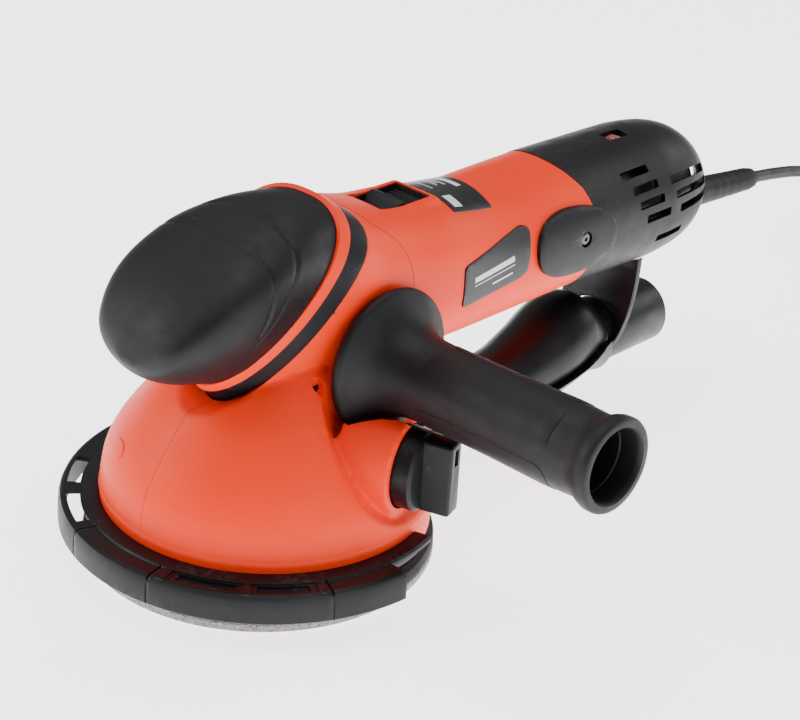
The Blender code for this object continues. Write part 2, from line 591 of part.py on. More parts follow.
# side view of what the cradle keeps of the duct's surroundings, and the outer line of its plate, as (y, z)
CRADLE = [(0.1600, 0.0020), (0.2098, 0.0020), (0.2098, 0.0350), (0.2024, 0.0345), (0.1910, 0.0262),
          (0.1712, 0.0222), (0.1600, 0.0215)]
PLATE = [(0.2252, 0.0770), (0.2246, 0.0672), (0.2238, 0.0590), (0.2212, 0.0480), (0.2160, 0.0373), (0.2068, 0.0296)]


def duct_rings(inset):
    """Round rings along the duct's route, square to Y, set in by the wall."""
    rings = []
    for y, z, radius in DUCT_ROUTE:
        ring = [Vector(((radius - inset) * math.cos(a), y, z + (radius - inset) * math.sin(a)))
                for a in (2 * math.pi * i / 18 for i in range(18))]
        rings.append(ring)
    return rings


def dust_duct():
    duct = loft("dust_duct", duct_rings(0), BLACK)
    combine(duct, "DIFFERENCE", loft("duct_hollow", overrun_rings(duct_rings(0.0022), 0.002)))
    bore, r = 0.0138, NOZZLE_RADIUS
    turned("dust_nozzle", [(bore, 0.2104), (r, 0.2104), (r, 0.2180),
                           (r, NOZZLE_END - 0.0008), (r - 0.0008, NOZZLE_END), (bore, NOZZLE_END)],
           BLACK, "Y", (0, 0, NOZZLE_Z), steps=28)


def duct_bracket():
    """Cradle that hugs the duct's fat part from below, with the plate that hangs it from the cap."""
    half, thick = 0.0200, 0.0030
    cradle = loft("duct_bracket", duct_rings(-0.0034), BLACK)
    combine(cradle, "INTERSECT", side_prism("cradle_extent", CRADLE, 0.03), solver="MANIFOLD")
    inner = [(y - thick, z + thick * 0.25) for y, z in PLATE]
    plate = side_prism("bracket_plate", PLATE + inner[::-1], half)
    combine(cradle, "UNION", plate, solver="MANIFOLD")
    hole = rod("bracket_hole", NOZZLE_RADIUS + 0.0007, (0, 0.2080, NOZZLE_Z), (0, 0.250, NOZZLE_Z), sides=28)
    inside = loft("duct_air", overrun_rings(duct_rings(-0.0004), 0.002))
    drop = Vector((0, 1, -math.tan(CAP_DROP)))
    start = Vector((0, CAP_START, BARREL_Z))
    above = rod("cap_air", BARREL_RADIUS + GAP, start + drop * 0.035, start + drop * 0.075, sides=56)
    return combine(cradle, "DIFFERENCE", inside, hole, above, solver="MANIFOLD")


# ---------------------------------------------------------------- motor and gears inside
def ring_bearing(name, bore, outer, low, high, axis="Z", at=(0, 0, 0)):
    turned(name, [(bore, low), (outer, low), (outer, high), (bore, high)], STEEL, axis, at, steps=14)


def gear_wheel(name, teeth, root, tip, low, high, at, axis, mat):
    """Straight-toothed wheel: four outline points to a tooth, on a round bore."""
    outline = []
    for i in range(teeth * 4):
        radius = tip if i % 4 in (1, 2) else root
        angle = 2 * math.pi * (i + 0.5) / (teeth * 4)
        outline.append((radius * math.cos(angle), radius * math.sin(angle)))
    wheel = prism(name, outline, low, high, mat)
    wheel.location = at
    wheel.rotation_euler = AXIS_TURN[axis]
    return wheel


def armature():
    """Everything that turns with the motor shaft, along the barrel's axis."""
    middle = (0, 0, BARREL_Z)
    rod("motor_shaft", 0.0040, (0, 0.0140, BARREL_Z), (0, 0.2550, BARREL_Z), STEEL, sides=20)
    sleeve = 0.0040 + GAP
    turned("armature_core", [(sleeve, 0.104), (0.0185, 0.104), (0.0185, 0.146), (sleeve, 0.146)], COPPER,
           "Y", middle, steps=24)
    turned("commutator", [(sleeve, 0.150), (0.0110, 0.150), (0.0110, 0.170), (sleeve, 0.170)], COPPER,
           "Y", middle, steps=24)
    fan = turned("cooling_fan", [(sleeve, 0.0840), (0.0270, 0.0840), (0.0270, 0.0856), (0.0085, 0.0870),
                                 (0.0085, 0.0960), (sleeve, 0.0960)], BLACK, "Y", middle, steps=16)
    for i in range(8):
        blade = block(f"fan_blade_{i}", (0.0080, 0.0850, -0.0006), (0.0260, 0.0950, 0.0006))
        blade.rotation_euler = (0, 2 * math.pi * i / 8, 0)
        blade.location = middle
        combine(fan, "UNION", blade)
    pinion = gear_wheel("bevel_pinion", PINION_TEETH, 0.0058, 0.0073, 0.0150, 0.0235, middle, "Y", STEEL)
    bore = rod("pinion_bore", sleeve, (0, 0.010, BARREL_Z), (0, 0.030, BARREL_Z), sides=20)
    combine(pinion, "DIFFERENCE", bore)


def motor_stator():
    middle = (0, 0, BARREL_Z)
    turned("motor_stator", [(0.0195, 0.102), (0.0300, 0.102), (0.0300, 0.148), (0.0195, 0.148)], CAST,
           "Y", middle, steps=28)
    ring_bearing("front_bearing", 0.0043, 0.0110, 0.034, 0.042, "Y", middle)
    ring_bearing("rear_bearing", 0.0043, 0.0095, 0.243, 0.250, "Y", middle)
    turned("bearing_bracket", [(0.0113, 0.033), (0.0275, 0.033), (0.0275, 0.038), (0.0150, 0.0435),
                               (0.0113, 0.0435)], CAST, "Y", middle, steps=28)
    for side, sign in (("right", 1), ("left", -1)):
        block(f"carbon_brush_{side}", (min(sign * 0.0114, sign * 0.0250), 0.1565, BARREL_Z - 0.0030),
              (max(sign * 0.0114, sign * 0.0250), 0.1645, BARREL_Z + 0.0030), CARBON)
        holder = block(f"brush_holder_{side}",
                       (min(sign * 0.0140, sign * 0.0285), 0.1545, BARREL_Z - 0.0050),
                       (max(sign * 0.0140, sign * 0.0285), 0.1665, BARREL_Z + 0.0050), COPPER)
        channel = block(f"brush_channel_{side}",
                        (min(sign * 0.0120, sign * 0.0300), 0.1562, BARREL_Z - 0.0033),
                        (max(sign * 0.0120, sign * 0.0300), 0.1648, BARREL_Z + 0.0033))
        combine(holder, "DIFFERENCE", channel)


def gearbox():
    """Gear housing with its cover, the crown gear, the spindle and its two bearings."""
    housing = turned("gear_housing", [(0, 0.1105), (0.0083, 0.1105), (0.0083, 0.1015), (0.0105, 0.1015),
                                      (0.0105, 0.1090), (0.0186, 0.1090), (0.0186, 0.0745),
                                      (0.0199, 0.0745), (0.0199, 0.1110), (0.0175, 0.1130), (0, 0.1130)],
                     CAST)
    mouth = rod("shaft_mouth", 0.0085, (0, 0.0150, BARREL_Z), (0, 0.0300, BARREL_Z))
    combine(housing, "DIFFERENCE", mouth)
    turned("gearbox_cover", [(0.0085, 0.0705), (0.0199, 0.0705), (0.0199, 0.0742), (0.0170, 0.0742),
                             (0.0170, 0.0820), (0.0143, 0.0820), (0.0143, 0.0742), (0.0085, 0.0742)],
           CAST)
    ring_bearing("lower_bearing", 0.0078, 0.0140, 0.0745, 0.0818)
    ring_bearing("upper_bearing", 0.0053, 0.0080, 0.1025, 0.1100)
    crown = gear_wheel("crown_gear", CROWN_TEETH, 0.0168, 0.0180, 0.0880, 0.0953, (0, 0, 0), "Z", STEEL)
    combine(crown, "DIFFERENCE", rod("crown_bore", 0.0078, (0, 0, 0.080), (0, 0, 0.100)))
    turned("spindle", [(0, 0.0605), (0.0075, 0.0605), (0.0075, 0.0975), (0.0050, 0.1000),
                       (0.0050, 0.1090), (0, 0.1090)], STEEL, steps=24)


def eccentric_drive():
    """Hub that carries the pad off the spindle's axis, and the weight that balances it."""
    hub = rod("eccentric_hub", 0.0180, (0, 0, 0.0385), (0, 0, 0.0602), STEEL, sides=24)
    seat = rod("hub_seat", 0.0133, (ORBIT_X, ORBIT_Y, 0.036), (ORBIT_X, ORBIT_Y, 0.0490), sides=24)
    combine(hub, "DIFFERENCE", seat)
    heavy = math.degrees(ORBIT_ANGLE) + 180
    sector("counterweight", 0.0183, 0.0305, heavy - 75, heavy + 75, 0.0460, 0.0580, CAST, step=12)
    ring_bearing("pad_bearing", 0.0053, 0.0130, 0.0390, 0.0487, at=(ORBIT_X, ORBIT_Y, 0))


# ---------------------------------------------------------------- sanding pad
def sanding_pad():
    """Hook face, foam and plate, with eight dust holes; the plate screws on by its stud."""
    at = (ORBIT_X, ORBIT_Y, 0)
    face = rod("hook_face", PAD_RADIUS - 0.0006, (*at[:2], 0), (*at[:2], 0.0014), HOOKS, sides=36)
    foam = turned("pad_foam", [(0, 0.0017), (PAD_RADIUS - 0.0002, 0.0017), (PAD_RADIUS, 0.0030),
                               (PAD_RADIUS - 0.0006, 0.0095), (PAD_RADIUS - 0.0030, 0.0110), (0, 0.0110)],
                  FOAM, at=at, steps=36)
    plate = turned("pad_plate", [(0, 0.0113), (0.0640, 0.0113), (0.0640, 0.0135), (0.0600, 0.0150),
                                 (0.0160, 0.0160), (0.0140, 0.0220), (0.0080, 0.0240), (0.0080, 0.0380),
                                 (0.0050, 0.0385), (0.0050, 0.0480), (0, 0.0480)], BLACK, at=at, steps=24)
    for i in range(8):
        a = 2 * math.pi * (i + 0.5) / 8
        x, y = ORBIT_X + 0.045 * math.cos(a), ORBIT_Y + 0.045 * math.sin(a)
        hole = rod(f"dust_hole_{i}", 0.0050, (x, y, -0.005), (x, y, 0.03), sides=6)
        for piece in (face, foam, plate):
            combine(piece, "DIFFERENCE", hole)


# ---------------------------------------------------------------- cord, coil and plug
CORD_ROUTE = [(0, 0.3384, 0.0792), (0, 0.3510, 0.0775), (0, 0.3650, 0.0752), (0, 0.3840, 0.0712),
              (-0.002, 0.4020, 0.0635), (-0.008, 0.4180, 0.0510), (-0.017, 0.4330, 0.0355),
              (-0.026, 0.4460, 0.0215), (-0.034, 0.4575, 0.0105), (-0.0387, 0.4675, 0.0050),
              (-0.0404, 0.4765, 0.0033)]
TAIL_ROUTE = [(0.0404, 0.4765, 0.0033), (0.0408, 0.4680, 0.0045), (0.0418, 0.4600, 0.0075),
              (0.0425, 0.4530, 0.0100), (0.0425, 0.4472, 0.0110)]
PLUG_X, PLUG_Z = 0.0425, 0.0110


def cord_set():
    """Strain relief, free lead, coil, tail and the two-pin plug beside the coil."""
    relief = turned("strain_relief", [(0, 0), (0.0068, 0), (0.0068, 0.0060), (0.0088, 0.0065),
                                      (0.0088, 0.0085), (0.0070, 0.0105), (0.0054, 0.0599),
                                      (0.0050, 0.0606), (0, 0.0606)], RUBBER, steps=20)
    relief.location = RELIEF_BASE
    relief.rotation_euler = RELIEF_OUT.to_track_quat("Z", "Y").to_euler()
    tube("cord", smooth_path(CORD_ROUTE, 2), CORD_RADIUS, RUBBER)
    half = CORD_RADIUS * COIL_WIDE
    top = 2 * CORD_RADIUS * COIL_HIGH + 0.0002
    turned("cord_coil", [(COIL_MEAN - half, 0.0002), (COIL_MEAN + half, 0.0002),
                         (COIL_MEAN + half, top), (COIL_MEAN - half, top)], RUBBER,
           at=(*COIL_CENTRE, 0), steps=40)
    tube("cord_tail", smooth_path(TAIL_ROUTE, 2), CORD_RADIUS, RUBBER)
    rings = []
    for y, wide, tall in ((0.4468, 0.0052, 0.0052), (0.4360, 0.0068, 0.0066), (0.4320, 0.0150, 0.0098),
                          (0.4180, 0.0175, 0.0107), (0.4020, 0.0175, 0.0107), (0.3990, 0.0165, 0.0097)):
        rings.append([Vector((PLUG_X + wide * math.copysign(abs(math.cos(a)) ** 0.7, math.cos(a)), y,
                              PLUG_Z + tall * math.copysign(abs(math.sin(a)) ** 0.7, math.sin(a))))
                      for a in (2 * math.pi * (i + 0.5) / 20 for i in range(20))])
    loft("plug_body", rings, RUBBER)
    for number, sign in ((1, 1), (2, -1)):
        x = PLUG_X + sign * 0.0095
        rod(f"plug_pin_{number}", 0.0024, (x, 0.3987, PLUG_Z), (x, 0.3800, PLUG_Z), STEEL, sides=16)


head_shells()
motor_housing()
rear_cap()
palm_grip()
side_handle()
mode_knob()
mode_ring()
pad_guard()
side_covers()
power_switch()
speed_dial()
dust_duct()
duct_bracket()
armature()
motor_stator()
gearbox()
eccentric_drive()
sanding_pad()
cord_set()
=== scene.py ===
"""Looks of a dual-mode orbital sander: moulded casings, rubber grips, guard, pad and cord.

Metres, +Z up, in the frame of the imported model. Each piece rides on the body that carries it.
"""
import json
from math import copysign, cos, hypot, pi, radians, sin, tan

import bmesh
import bpy
from mathutils import Matrix, Vector


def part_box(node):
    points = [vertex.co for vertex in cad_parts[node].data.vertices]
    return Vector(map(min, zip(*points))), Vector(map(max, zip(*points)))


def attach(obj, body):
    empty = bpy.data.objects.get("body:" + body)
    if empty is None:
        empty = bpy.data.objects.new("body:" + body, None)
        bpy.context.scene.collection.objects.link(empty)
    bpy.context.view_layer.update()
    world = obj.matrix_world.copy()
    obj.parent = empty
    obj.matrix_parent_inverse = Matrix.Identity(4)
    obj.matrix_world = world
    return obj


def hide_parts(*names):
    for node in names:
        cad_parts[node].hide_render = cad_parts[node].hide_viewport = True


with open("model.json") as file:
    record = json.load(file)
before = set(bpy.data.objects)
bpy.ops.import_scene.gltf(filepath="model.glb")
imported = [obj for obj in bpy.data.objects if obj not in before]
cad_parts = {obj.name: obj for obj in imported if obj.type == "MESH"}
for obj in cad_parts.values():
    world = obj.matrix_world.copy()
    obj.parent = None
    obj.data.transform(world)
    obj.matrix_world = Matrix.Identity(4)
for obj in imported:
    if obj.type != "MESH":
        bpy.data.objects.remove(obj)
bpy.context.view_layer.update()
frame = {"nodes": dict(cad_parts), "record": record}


def centre_of(node):
    low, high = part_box(node)
    return (Vector(low) + Vector(high)) / 2


def placed(name, data):
    """New object in the scene."""
    obj = bpy.data.objects.new(name, data)
    bpy.context.scene.collection.objects.link(obj)
    return obj


def angles(count, shift=0.0):
    """Equal steps round a full turn."""
    return [2 * pi * (i + shift) / count for i in range(count)]


def bulge(value, power):
    """Cosine or sine of a superellipse with this power."""
    return copysign(abs(value) ** (2 / power), value)


# ---------------------------------------------------------------- dimensions, from the frame
BARREL_Z = centre_of("motor_stator").z
BARREL_RADIUS = 0.0332
BARREL_TOP = BARREL_Z + BARREL_RADIUS
BARREL_BOTTOM = BARREL_Z - BARREL_RADIUS
CAP_START = 0.1703
CAP_DROP = radians(1.95)
BELL_RADIUS = -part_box("head_shell_left")[0][0]
BELL_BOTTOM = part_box("head_shell_left")[0][2]
GUARD_RADIUS = 0.0878
GUARD_LOW, GUARD_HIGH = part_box("pad_guard")[0][2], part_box("pad_guard")[1][2]
HANDLE_BASE = Vector((0, 0.0308, 0.0885))
HANDLE_FACE, HANDLE_END = 0.0343, 0.1588
HANDLE_TILT = radians(0.9)
PAD = centre_of("pad_foam")
WALL = 0.0026
LID_Y, LID_Z = 0.1605, 0.1065
GAP = 0.0003
KNOB_ANGLE = radians(18)
KNOB_Z = centre_of("mode_knob").z
KNOB_RADIUS = 0.0172
KNOB_OUT = Vector((cos(KNOB_ANGLE), sin(KNOB_ANGLE), 0))
NOZZLE_Z = centre_of("dust_nozzle").z
NOZZLE_RADIUS = 0.0163
NOZZLE_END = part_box("dust_nozzle")[1][1]
CORD_RADIUS = 0.0031
RELIEF_BASE = Vector((0, 0.2775, 0.0852))
RELIEF_OUT = (Vector((0, 0.3380, 0.0793)) - RELIEF_BASE).normalized()
COIL = centre_of("cord_coil")
COIL_MEAN = 0.034

# the palm grip's rim lies in a plane tilted back over the shroud
RIM_TOP = Vector((0, 0.017, 0.156))
RIM_FORWARD = Vector((0, -0.761, 0.649)).normalized()
RIM_UP = Vector((0, 0.649, 0.761)).normalized()
AXIS_TURN = {"Z": Matrix(), "Y": Matrix.Rotation(-pi / 2, 4, "X"),
             "X": Matrix.Rotation(pi / 2, 4, "Y")}


# ---------------------------------------------------------------- camera, floor and light
def camera():
    """Three-quarter view from the handle's side, above, with a slight roll."""
    right = Vector((0.72239, 0.68928, 0.05518)).normalized()
    up = Vector((-0.34607, 0.29130, 0.89184))
    up = (up - right * up.dot(right)).normalized()
    back = right.cross(up)
    data = bpy.data.cameras.new("camera")
    data.sensor_width = 36
    data.lens = 104.2
    obj = placed("camera", data)
    obj.matrix_world = Matrix.Translation((0.61215, -0.59826, 0.51807)) @ Matrix(
        (right, up, back)).transposed().to_4x4()
    bpy.context.scene.camera = obj


def area_light(name, place, target, size, power):
    data = bpy.data.lights.new(name, "AREA")
    data.shape = "RECTANGLE"
    data.size, data.size_y = size
    data.energy = power
    obj = placed(name, data)
    obj.location = place
    obj.rotation_euler = (Vector(target) - Vector(place)).to_track_quat("-Z", "Y").to_euler()


def studio():
    """White sweep under two large soft boxes and a pale surround."""
    bpy.ops.mesh.primitive_plane_add(size=14, location=(0, 0, -0.0002))
    floor = bpy.context.object
    floor.name = "floor"
    mat = bpy.data.materials.new("floor_white")
    mat.use_nodes = True
    shader = mat.node_tree.nodes["Principled BSDF"]
    shader.inputs["Base Color"].default_value = (0.95, 0.95, 0.955, 1)
    shader.inputs["Roughness"].default_value = 0.6
    shader.inputs["Emission Color"].default_value = (1, 1, 1, 1)
    shader.inputs["Emission Strength"].default_value = 2.6
    floor.data.materials.append(mat)
    middle = (0, 0.08, 0.08)
    area_light("top_box", (-0.25, 0.2, 1.7), middle, (1.5, 1.5), 17)
    area_light("key_box", (-1.3, -1.3, 1.1), middle, (1.0, 0.9), 24)
    area_light("right_box", (1.7, -0.3, 0.75), middle, (0.9, 1.1), 9)
    area_light("back_box", (0.6, 1.9, 0.9), middle, (1.4, 0.8), 10)
    world = bpy.data.worlds.new("surround")
    world.use_nodes = True
    world.node_tree.nodes["Background"].inputs["Color"].default_value = (1, 1, 1, 1)
    world.node_tree.nodes["Background"].inputs["Strength"].default_value = 0.36
    bpy.context.scene.world = world


# ---------------------------------------------------------------- materials
class Finish:
    """Builds a node material: coordinates, noises, mixes and bumps on one Principled shader."""

    def __init__(self, name):
        self.mat = bpy.data.materials.new(name)
        self.mat.use_nodes = True
        self.nodes, self.links = self.mat.node_tree.nodes, self.mat.node_tree.links
        self.shader = self.nodes["Principled BSDF"]
        self.place = self.nodes.new("ShaderNodeTexCoord").outputs["Object"]

    def new(self, kind, **values):
        node = self.nodes.new("ShaderNode" + kind)
        for key, value in values.items():
            node.inputs[key.replace("_", " ")].default_value = value
        return node

    def feed(self, socket, value):
        """Give a socket a number, an rgb tuple or a link from an output."""
        if isinstance(value, bpy.types.NodeSocket):
            self.links.new(value, socket)
        else:
            socket.default_value = (*value, 1) if isinstance(value, tuple) else value
        return self

    def noise(self, scale, detail=4.0, roughness=0.55):
        node = self.new("TexNoise", Scale=scale, Detail=detail, Roughness=roughness)
        self.feed(node.inputs["Vector"], self.place)
        return node.outputs["Fac"]

    def cells(self, scale):
        node = self.new("TexVoronoi", Scale=scale)
        self.feed(node.inputs["Vector"], self.place)
        return node.outputs["Distance"]

    def span(self, source, low, high, to_low=0.0, to_high=1.0):
        node = self.new("MapRange", From_Min=low, From_Max=high, To_Min=to_low, To_Max=to_high)
        self.feed(node.inputs["Value"], source)
        return node.outputs["Result"]

    def worn_edges(self):
        """Mask that rises on convex edges."""
        return self.span(self.new("NewGeometry").outputs["Pointiness"], 0.54, 0.64)

    def mix(self, factor, first, second):
        """Mix of two colours; each is an rgb tuple or a colour output."""
        node = self.new("Mix")
        node.data_type = "RGBA"
        self.feed(node.inputs["Factor"], factor)
        self.feed(node.inputs[6], first).feed(node.inputs[7], second)
        return node.outputs[2]

    def product(self, first, second):
        node = self.new("Math")
        node.operation = "MULTIPLY"
        self.feed(node.inputs[0], first).feed(node.inputs[1], second)
        return node.outputs[0]

    def shade(self, **values):
        for key, value in values.items():
            self.feed(self.shader.inputs[key.replace("_", " ")], value)
        return self

    def bump(self, height, strength, distance):
        node = self.new("Bump", Strength=strength, Distance=distance)
        self.feed(node.inputs["Height"], height)
        previous = self.shader.inputs["Normal"].links
        if previous:
            self.feed(node.inputs["Normal"], previous[0].from_socket)
        return self.shade(Normal=node.outputs["Normal"])


def moulded(name, base, light, rough_low, rough_high, grain, grain_depth, wear=None, **fixed):
    """Moulded plastic or rubber: fine grain, uneven gloss, faint cloudiness and worn edges."""
    finish = Finish(name).shade(**fixed)
    cloud = finish.span(finish.noise(28, 3), 0.35, 0.7)
    tone = finish.mix(cloud, base, light)
    if wear:
        scuffs = finish.span(finish.noise(420, 5, 0.7), 0.45, 0.65)
        worn = finish.product(finish.worn_edges(), finish.product(scuffs, 0.55))
        tone = finish.mix(worn, tone, wear)
    finish.shade(Base_Color=tone)
    finish.shade(Roughness=finish.span(finish.noise(90, 5, 0.65), 0.3, 0.7, rough_low, rough_high))
    finish.bump(finish.noise(grain, 2, 0.5), 0.35, grain_depth)
    finish.bump(finish.noise(30, 2), 0.12, 0.0004)
    return finish.mat


def metal(name, base, light, rough, scratch=1400):
    """Ground or cast metal with fine scratches and slight staining."""
    finish = Finish(name).shade(Metallic=1.0)
    finish.shade(Base_Color=finish.mix(finish.span(finish.noise(60, 5), 0.35, 0.7), base, light))
    finish.shade(Roughness=finish.span(finish.noise(220, 5, 0.7), 0.3, 0.7, rough, rough + 0.18))
    finish.bump(finish.noise(scratch, 3), 0.2, 0.00003)
    return finish.mat


def hook_fabric():
    """Grey hook fabric: fine pale tips over dark gaps."""
    finish = Finish("hook_fabric").shade(Sheen_Weight=0.25, Sheen_Roughness=0.5)
    tips = finish.span(finish.cells(1500), 0.15, 0.5)
    blotch = finish.span(finish.noise(500, 4, 0.7), 0.4, 0.62)
    tone = finish.mix(tips, (0.78, 0.71, 0.69), (0.12, 0.10, 0.10))
    finish.shade(Base_Color=finish.mix(blotch, tone, (0.40, 0.35, 0.34)))
    finish.shade(Roughness=finish.span(finish.noise(300), 0.3, 0.7, 0.8, 1.0))
    finish.bump(tips, 0.8, 0.0005)
    return finish.mat


def build_materials():
    grey_wear = (0.05, 0.05, 0.055)
    return {
        "orange": moulded("orange_abs", (0.95, 0.030, 0.0), (0.98, 0.040, 0.0), 0.42, 0.52,
                          2600, 0.00004, (1.0, 0.20, 0.06), Specular_IOR_Level=0.2),
        "black": moulded("black_nylon", (0.0028, 0.0029, 0.0038), (0.0045, 0.0047, 0.0060), 0.38, 0.52,
                         2200, 0.00007, grey_wear, Specular_IOR_Level=0.25),
        "rubber": moulded("black_rubber", (0.0034, 0.0037, 0.0052), (0.0056, 0.0060, 0.0080), 0.46, 0.62,
                          2900, 0.00006, grey_wear, Specular_IOR_Level=0.28),
        "duct": moulded("duct_nylon", (0.0020, 0.0021, 0.0028), (0.0034, 0.0036, 0.0045), 0.32, 0.46,
                        1800, 0.00005, grey_wear, Specular_IOR_Level=0.28),
        "cable": moulded("cable_rubber", (0.006, 0.006, 0.007), (0.010, 0.010, 0.012), 0.42, 0.58,
                         1500, 0.00004),
        "badge": moulded("badge_grey", (0.0085, 0.0090, 0.0120), (0.0110, 0.0115, 0.0150), 0.38, 0.48,
                         2400, 0.00003),
        "label": moulded("label_black", (0.004, 0.004, 0.005), (0.007, 0.007, 0.008), 0.24, 0.34,
                         900, 0.00001),
        "print": moulded("label_print", (0.72, 0.73, 0.75), (0.8, 0.8, 0.82), 0.3, 0.4, 900, 0.00001),
        "dial": moulded("dial_red", (0.20, 0.018, 0.02), (0.28, 0.03, 0.03), 0.2, 0.3, 1500, 0.00002,
                        Coat_Weight=0.4),
        "foam": moulded("pad_foam", (0.010, 0.010, 0.012), (0.018, 0.018, 0.020), 0.75, 0.9,
                        1300, 0.00012),
        "board": moulded("board_green", (0.01, 0.07, 0.03), (0.012, 0.09, 0.04), 0.35, 0.5, 900, 0.00003),
        "carbon": moulded("carbon", (0.02, 0.02, 0.02), (0.03, 0.03, 0.03), 0.5, 0.7, 1500, 0.00005),
        "steel": metal("steel", (0.50, 0.51, 0.53), (0.62, 0.63, 0.65), 0.24),
        "alloy": metal("cast_alloy", (0.42, 0.43, 0.44), (0.55, 0.55, 0.56), 0.42, 700),
        "copper": metal("copper", (0.62, 0.24, 0.10), (0.75, 0.34, 0.16), 0.3),
        "zinc": metal("dark_screw", (0.10, 0.10, 0.11), (0.16, 0.16, 0.17), 0.34),
        "hooks": hook_fabric(),
    }


camera()
studio()
MAT = build_materials()


# ---------------------------------------------------------------- mesh tools
def add(name, bm, mat=None, smooth=32):
    bmesh.ops.recalc_face_normals(bm, faces=bm.faces[:])
    mesh = bpy.data.meshes.new(name)
    bm.to_mesh(mesh)
    bm.free()
    obj = placed(name, mesh)
    if mat:
        mesh.materials.append(MAT[mat])
    mesh.shade_smooth()
    mesh.set_sharp_from_angle(angle=radians(smooth))
    return obj


def apply(obj, smooth=32):
    """Fix the object's modifiers in its mesh."""
    bpy.context.view_layer.update()
    graph = bpy.context.evaluated_depsgraph_get()
    mesh = bpy.data.meshes.new_from_object(obj.evaluated_get(graph), depsgraph=graph)
    obj.modifiers.clear()
    obj.data = mesh
    mesh.shade_smooth()
    mesh.set_sharp_from_angle(angle=radians(smooth))
    return obj


def join(obj, operation, *others, solver="MANIFOLD"):
    """Boolean the others into an object, and remove them."""
    for other in others:
        mod = obj.modifiers.new("join", "BOOLEAN")
        mod.operation = operation
        mod.solver = solver
        mod.object = other
        apply(obj)
        bpy.data.objects.remove(other, do_unlink=True)
    return obj


def rounded(obj, width, segments=3, angle=32, smooth=32):
    mod = obj.modifiers.new("round", "BEVEL")
    mod.width = width
    mod.segments = segments
    mod.limit_method = "ANGLE"
    mod.angle_limit = radians(angle)
    mod.harden_normals = False
    return apply(obj, smooth)


def blended(obj, voxel, rounds=6, smooth=60):
    """Voxel skin over the object, relaxed so that its creases become soft moulded blends."""
    remesh = obj.modifiers.new("skin", "REMESH")
    remesh.mode = "VOXEL"
    remesh.voxel_size = voxel
    relax = obj.modifiers.new("relax", "SMOOTH")
    relax.factor = 0.5
    relax.iterations = rounds
    return apply(obj, smooth)


def lathe(name, profile, mat=None, axis="Z", at=(0, 0, 0), steps=96, smooth=32):
    """Turn (radius, height) points about an axis; a profile off the axis is a closed ring."""
    bm = bmesh.new()
    closed = min(p[0] for p in profile) > 1e-6
    rows = []
    for r, z in profile:
        if r < 1e-6:
            rows.append([bm.verts.new((0, 0, z))])
        else:
            rows.append([bm.verts.new((r * cos(a), r * sin(a), z)) for a in angles(steps)])
    for near, far in zip(rows, rows[1:] + ([rows[0]] if closed else [])):
        for i in range(steps):
            j = (i + 1) % steps
            corners = [near[i % len(near)], near[j % len(near)], far[j % len(far)], far[i % len(far)]]
            unique = list(dict.fromkeys(corners))
            if len(unique) > 2:
                bm.faces.new(unique)
    bmesh.ops.transform(bm, matrix=Matrix.Translation(at) @ AXIS_TURN[axis], verts=bm.verts)
    return add(name, bm, mat, smooth)


def rod(name, radius, start, end, mat=None, sides=48):
    start, end = Vector(start), Vector(end)
    bm = bmesh.new()
    bmesh.ops.create_cone(bm, cap_ends=True, segments=sides, radius1=radius, radius2=radius,
                          depth=(end - start).length)
    turn = (end - start).to_track_quat("Z", "Y").to_matrix().to_4x4()
    bmesh.ops.transform(bm, matrix=Matrix.Translation((start + end) / 2) @ turn, verts=bm.verts)
    return add(name, bm, mat)


def block(name, low, high, mat=None):
    low, high = Vector(low), Vector(high)
    bm = bmesh.new()
    bmesh.ops.create_cube(bm, size=1)
    bmesh.ops.scale(bm, vec=high - low, verts=bm.verts)
    bmesh.ops.translate(bm, vec=(low + high) / 2, verts=bm.verts)
    return add(name, bm, mat)


def loft(name, rings, mat=None, smooth=40):
    """Closed skin over rings of equal point count; both ends are capped."""
    bm = bmesh.new()
    rows = [[bm.verts.new(p) for p in ring] for ring in rings]
    count = len(rows[0])
    for near, far in zip(rows, rows[1:]):
        for i in range(count):
            j = (i + 1) % count
            bm.faces.new((near[i], near[j], far[j], far[i]))
    bm.faces.new(rows[0])
    bm.faces.new(rows[-1])
    return add(name, bm, mat, smooth)


def prism(name, outline, low, high, mat=None, facing=None):
    """Flat outline raised between two heights, then stood up by a facing matrix."""
    bm = bmesh.new()
    face = bm.faces.new([bm.verts.new((x, y, low)) for x, y in outline])
    grown = bmesh.ops.extrude_face_region(bm, geom=[face])
    raised = [v for v in grown["geom"] if isinstance(v, bmesh.types.BMVert)]
    bmesh.ops.translate(bm, vec=(0, 0, high - low), verts=raised)
    if facing:
        bmesh.ops.transform(bm, matrix=facing, verts=bm.verts)
    return add(name, bm, mat)


def sector(name, inner, outer, start, end, low, high, mat=None, step=1.5):
    """Part of a flat ring between two angles in degrees and two heights."""
    count = max(2, int(abs(end - start) / step) + 1)
    sweep = [radians(start + (end - start) * i / (count - 1)) for i in range(count)]
    outline = [(outer * cos(a), outer * sin(a)) for a in sweep]
    outline += [(inner * cos(a), inner * sin(a)) for a in reversed(sweep)]
    return prism(name, outline, low, high, mat)


def smooth_path(points, per_span):
    """Catmull-Rom curve through the points, with per_span points to each span."""
    points = [Vector(p) for p in points]
    padded = [points[0] * 2 - points[1], *points, points[-1] * 2 - points[-2]]
    path = []
    for a, b, c, d in zip(padded, padded[1:], padded[2:], padded[3:]):
        for k in range(per_span):
            t = k / per_span
            path.append(0.5 * (2 * b + (c - a) * t + (2 * a - 5 * b + 4 * c - d) * t * t
                               + (3 * b - a - 3 * c + d) * t ** 3))
    return path + [points[-1]]


def curved(profile, per_span=4):
    """Smooth curve through the points of a flat profile."""
    return [(p.x, p.y) for p in smooth_path([(a, b, 0) for a, b in profile], per_span)]


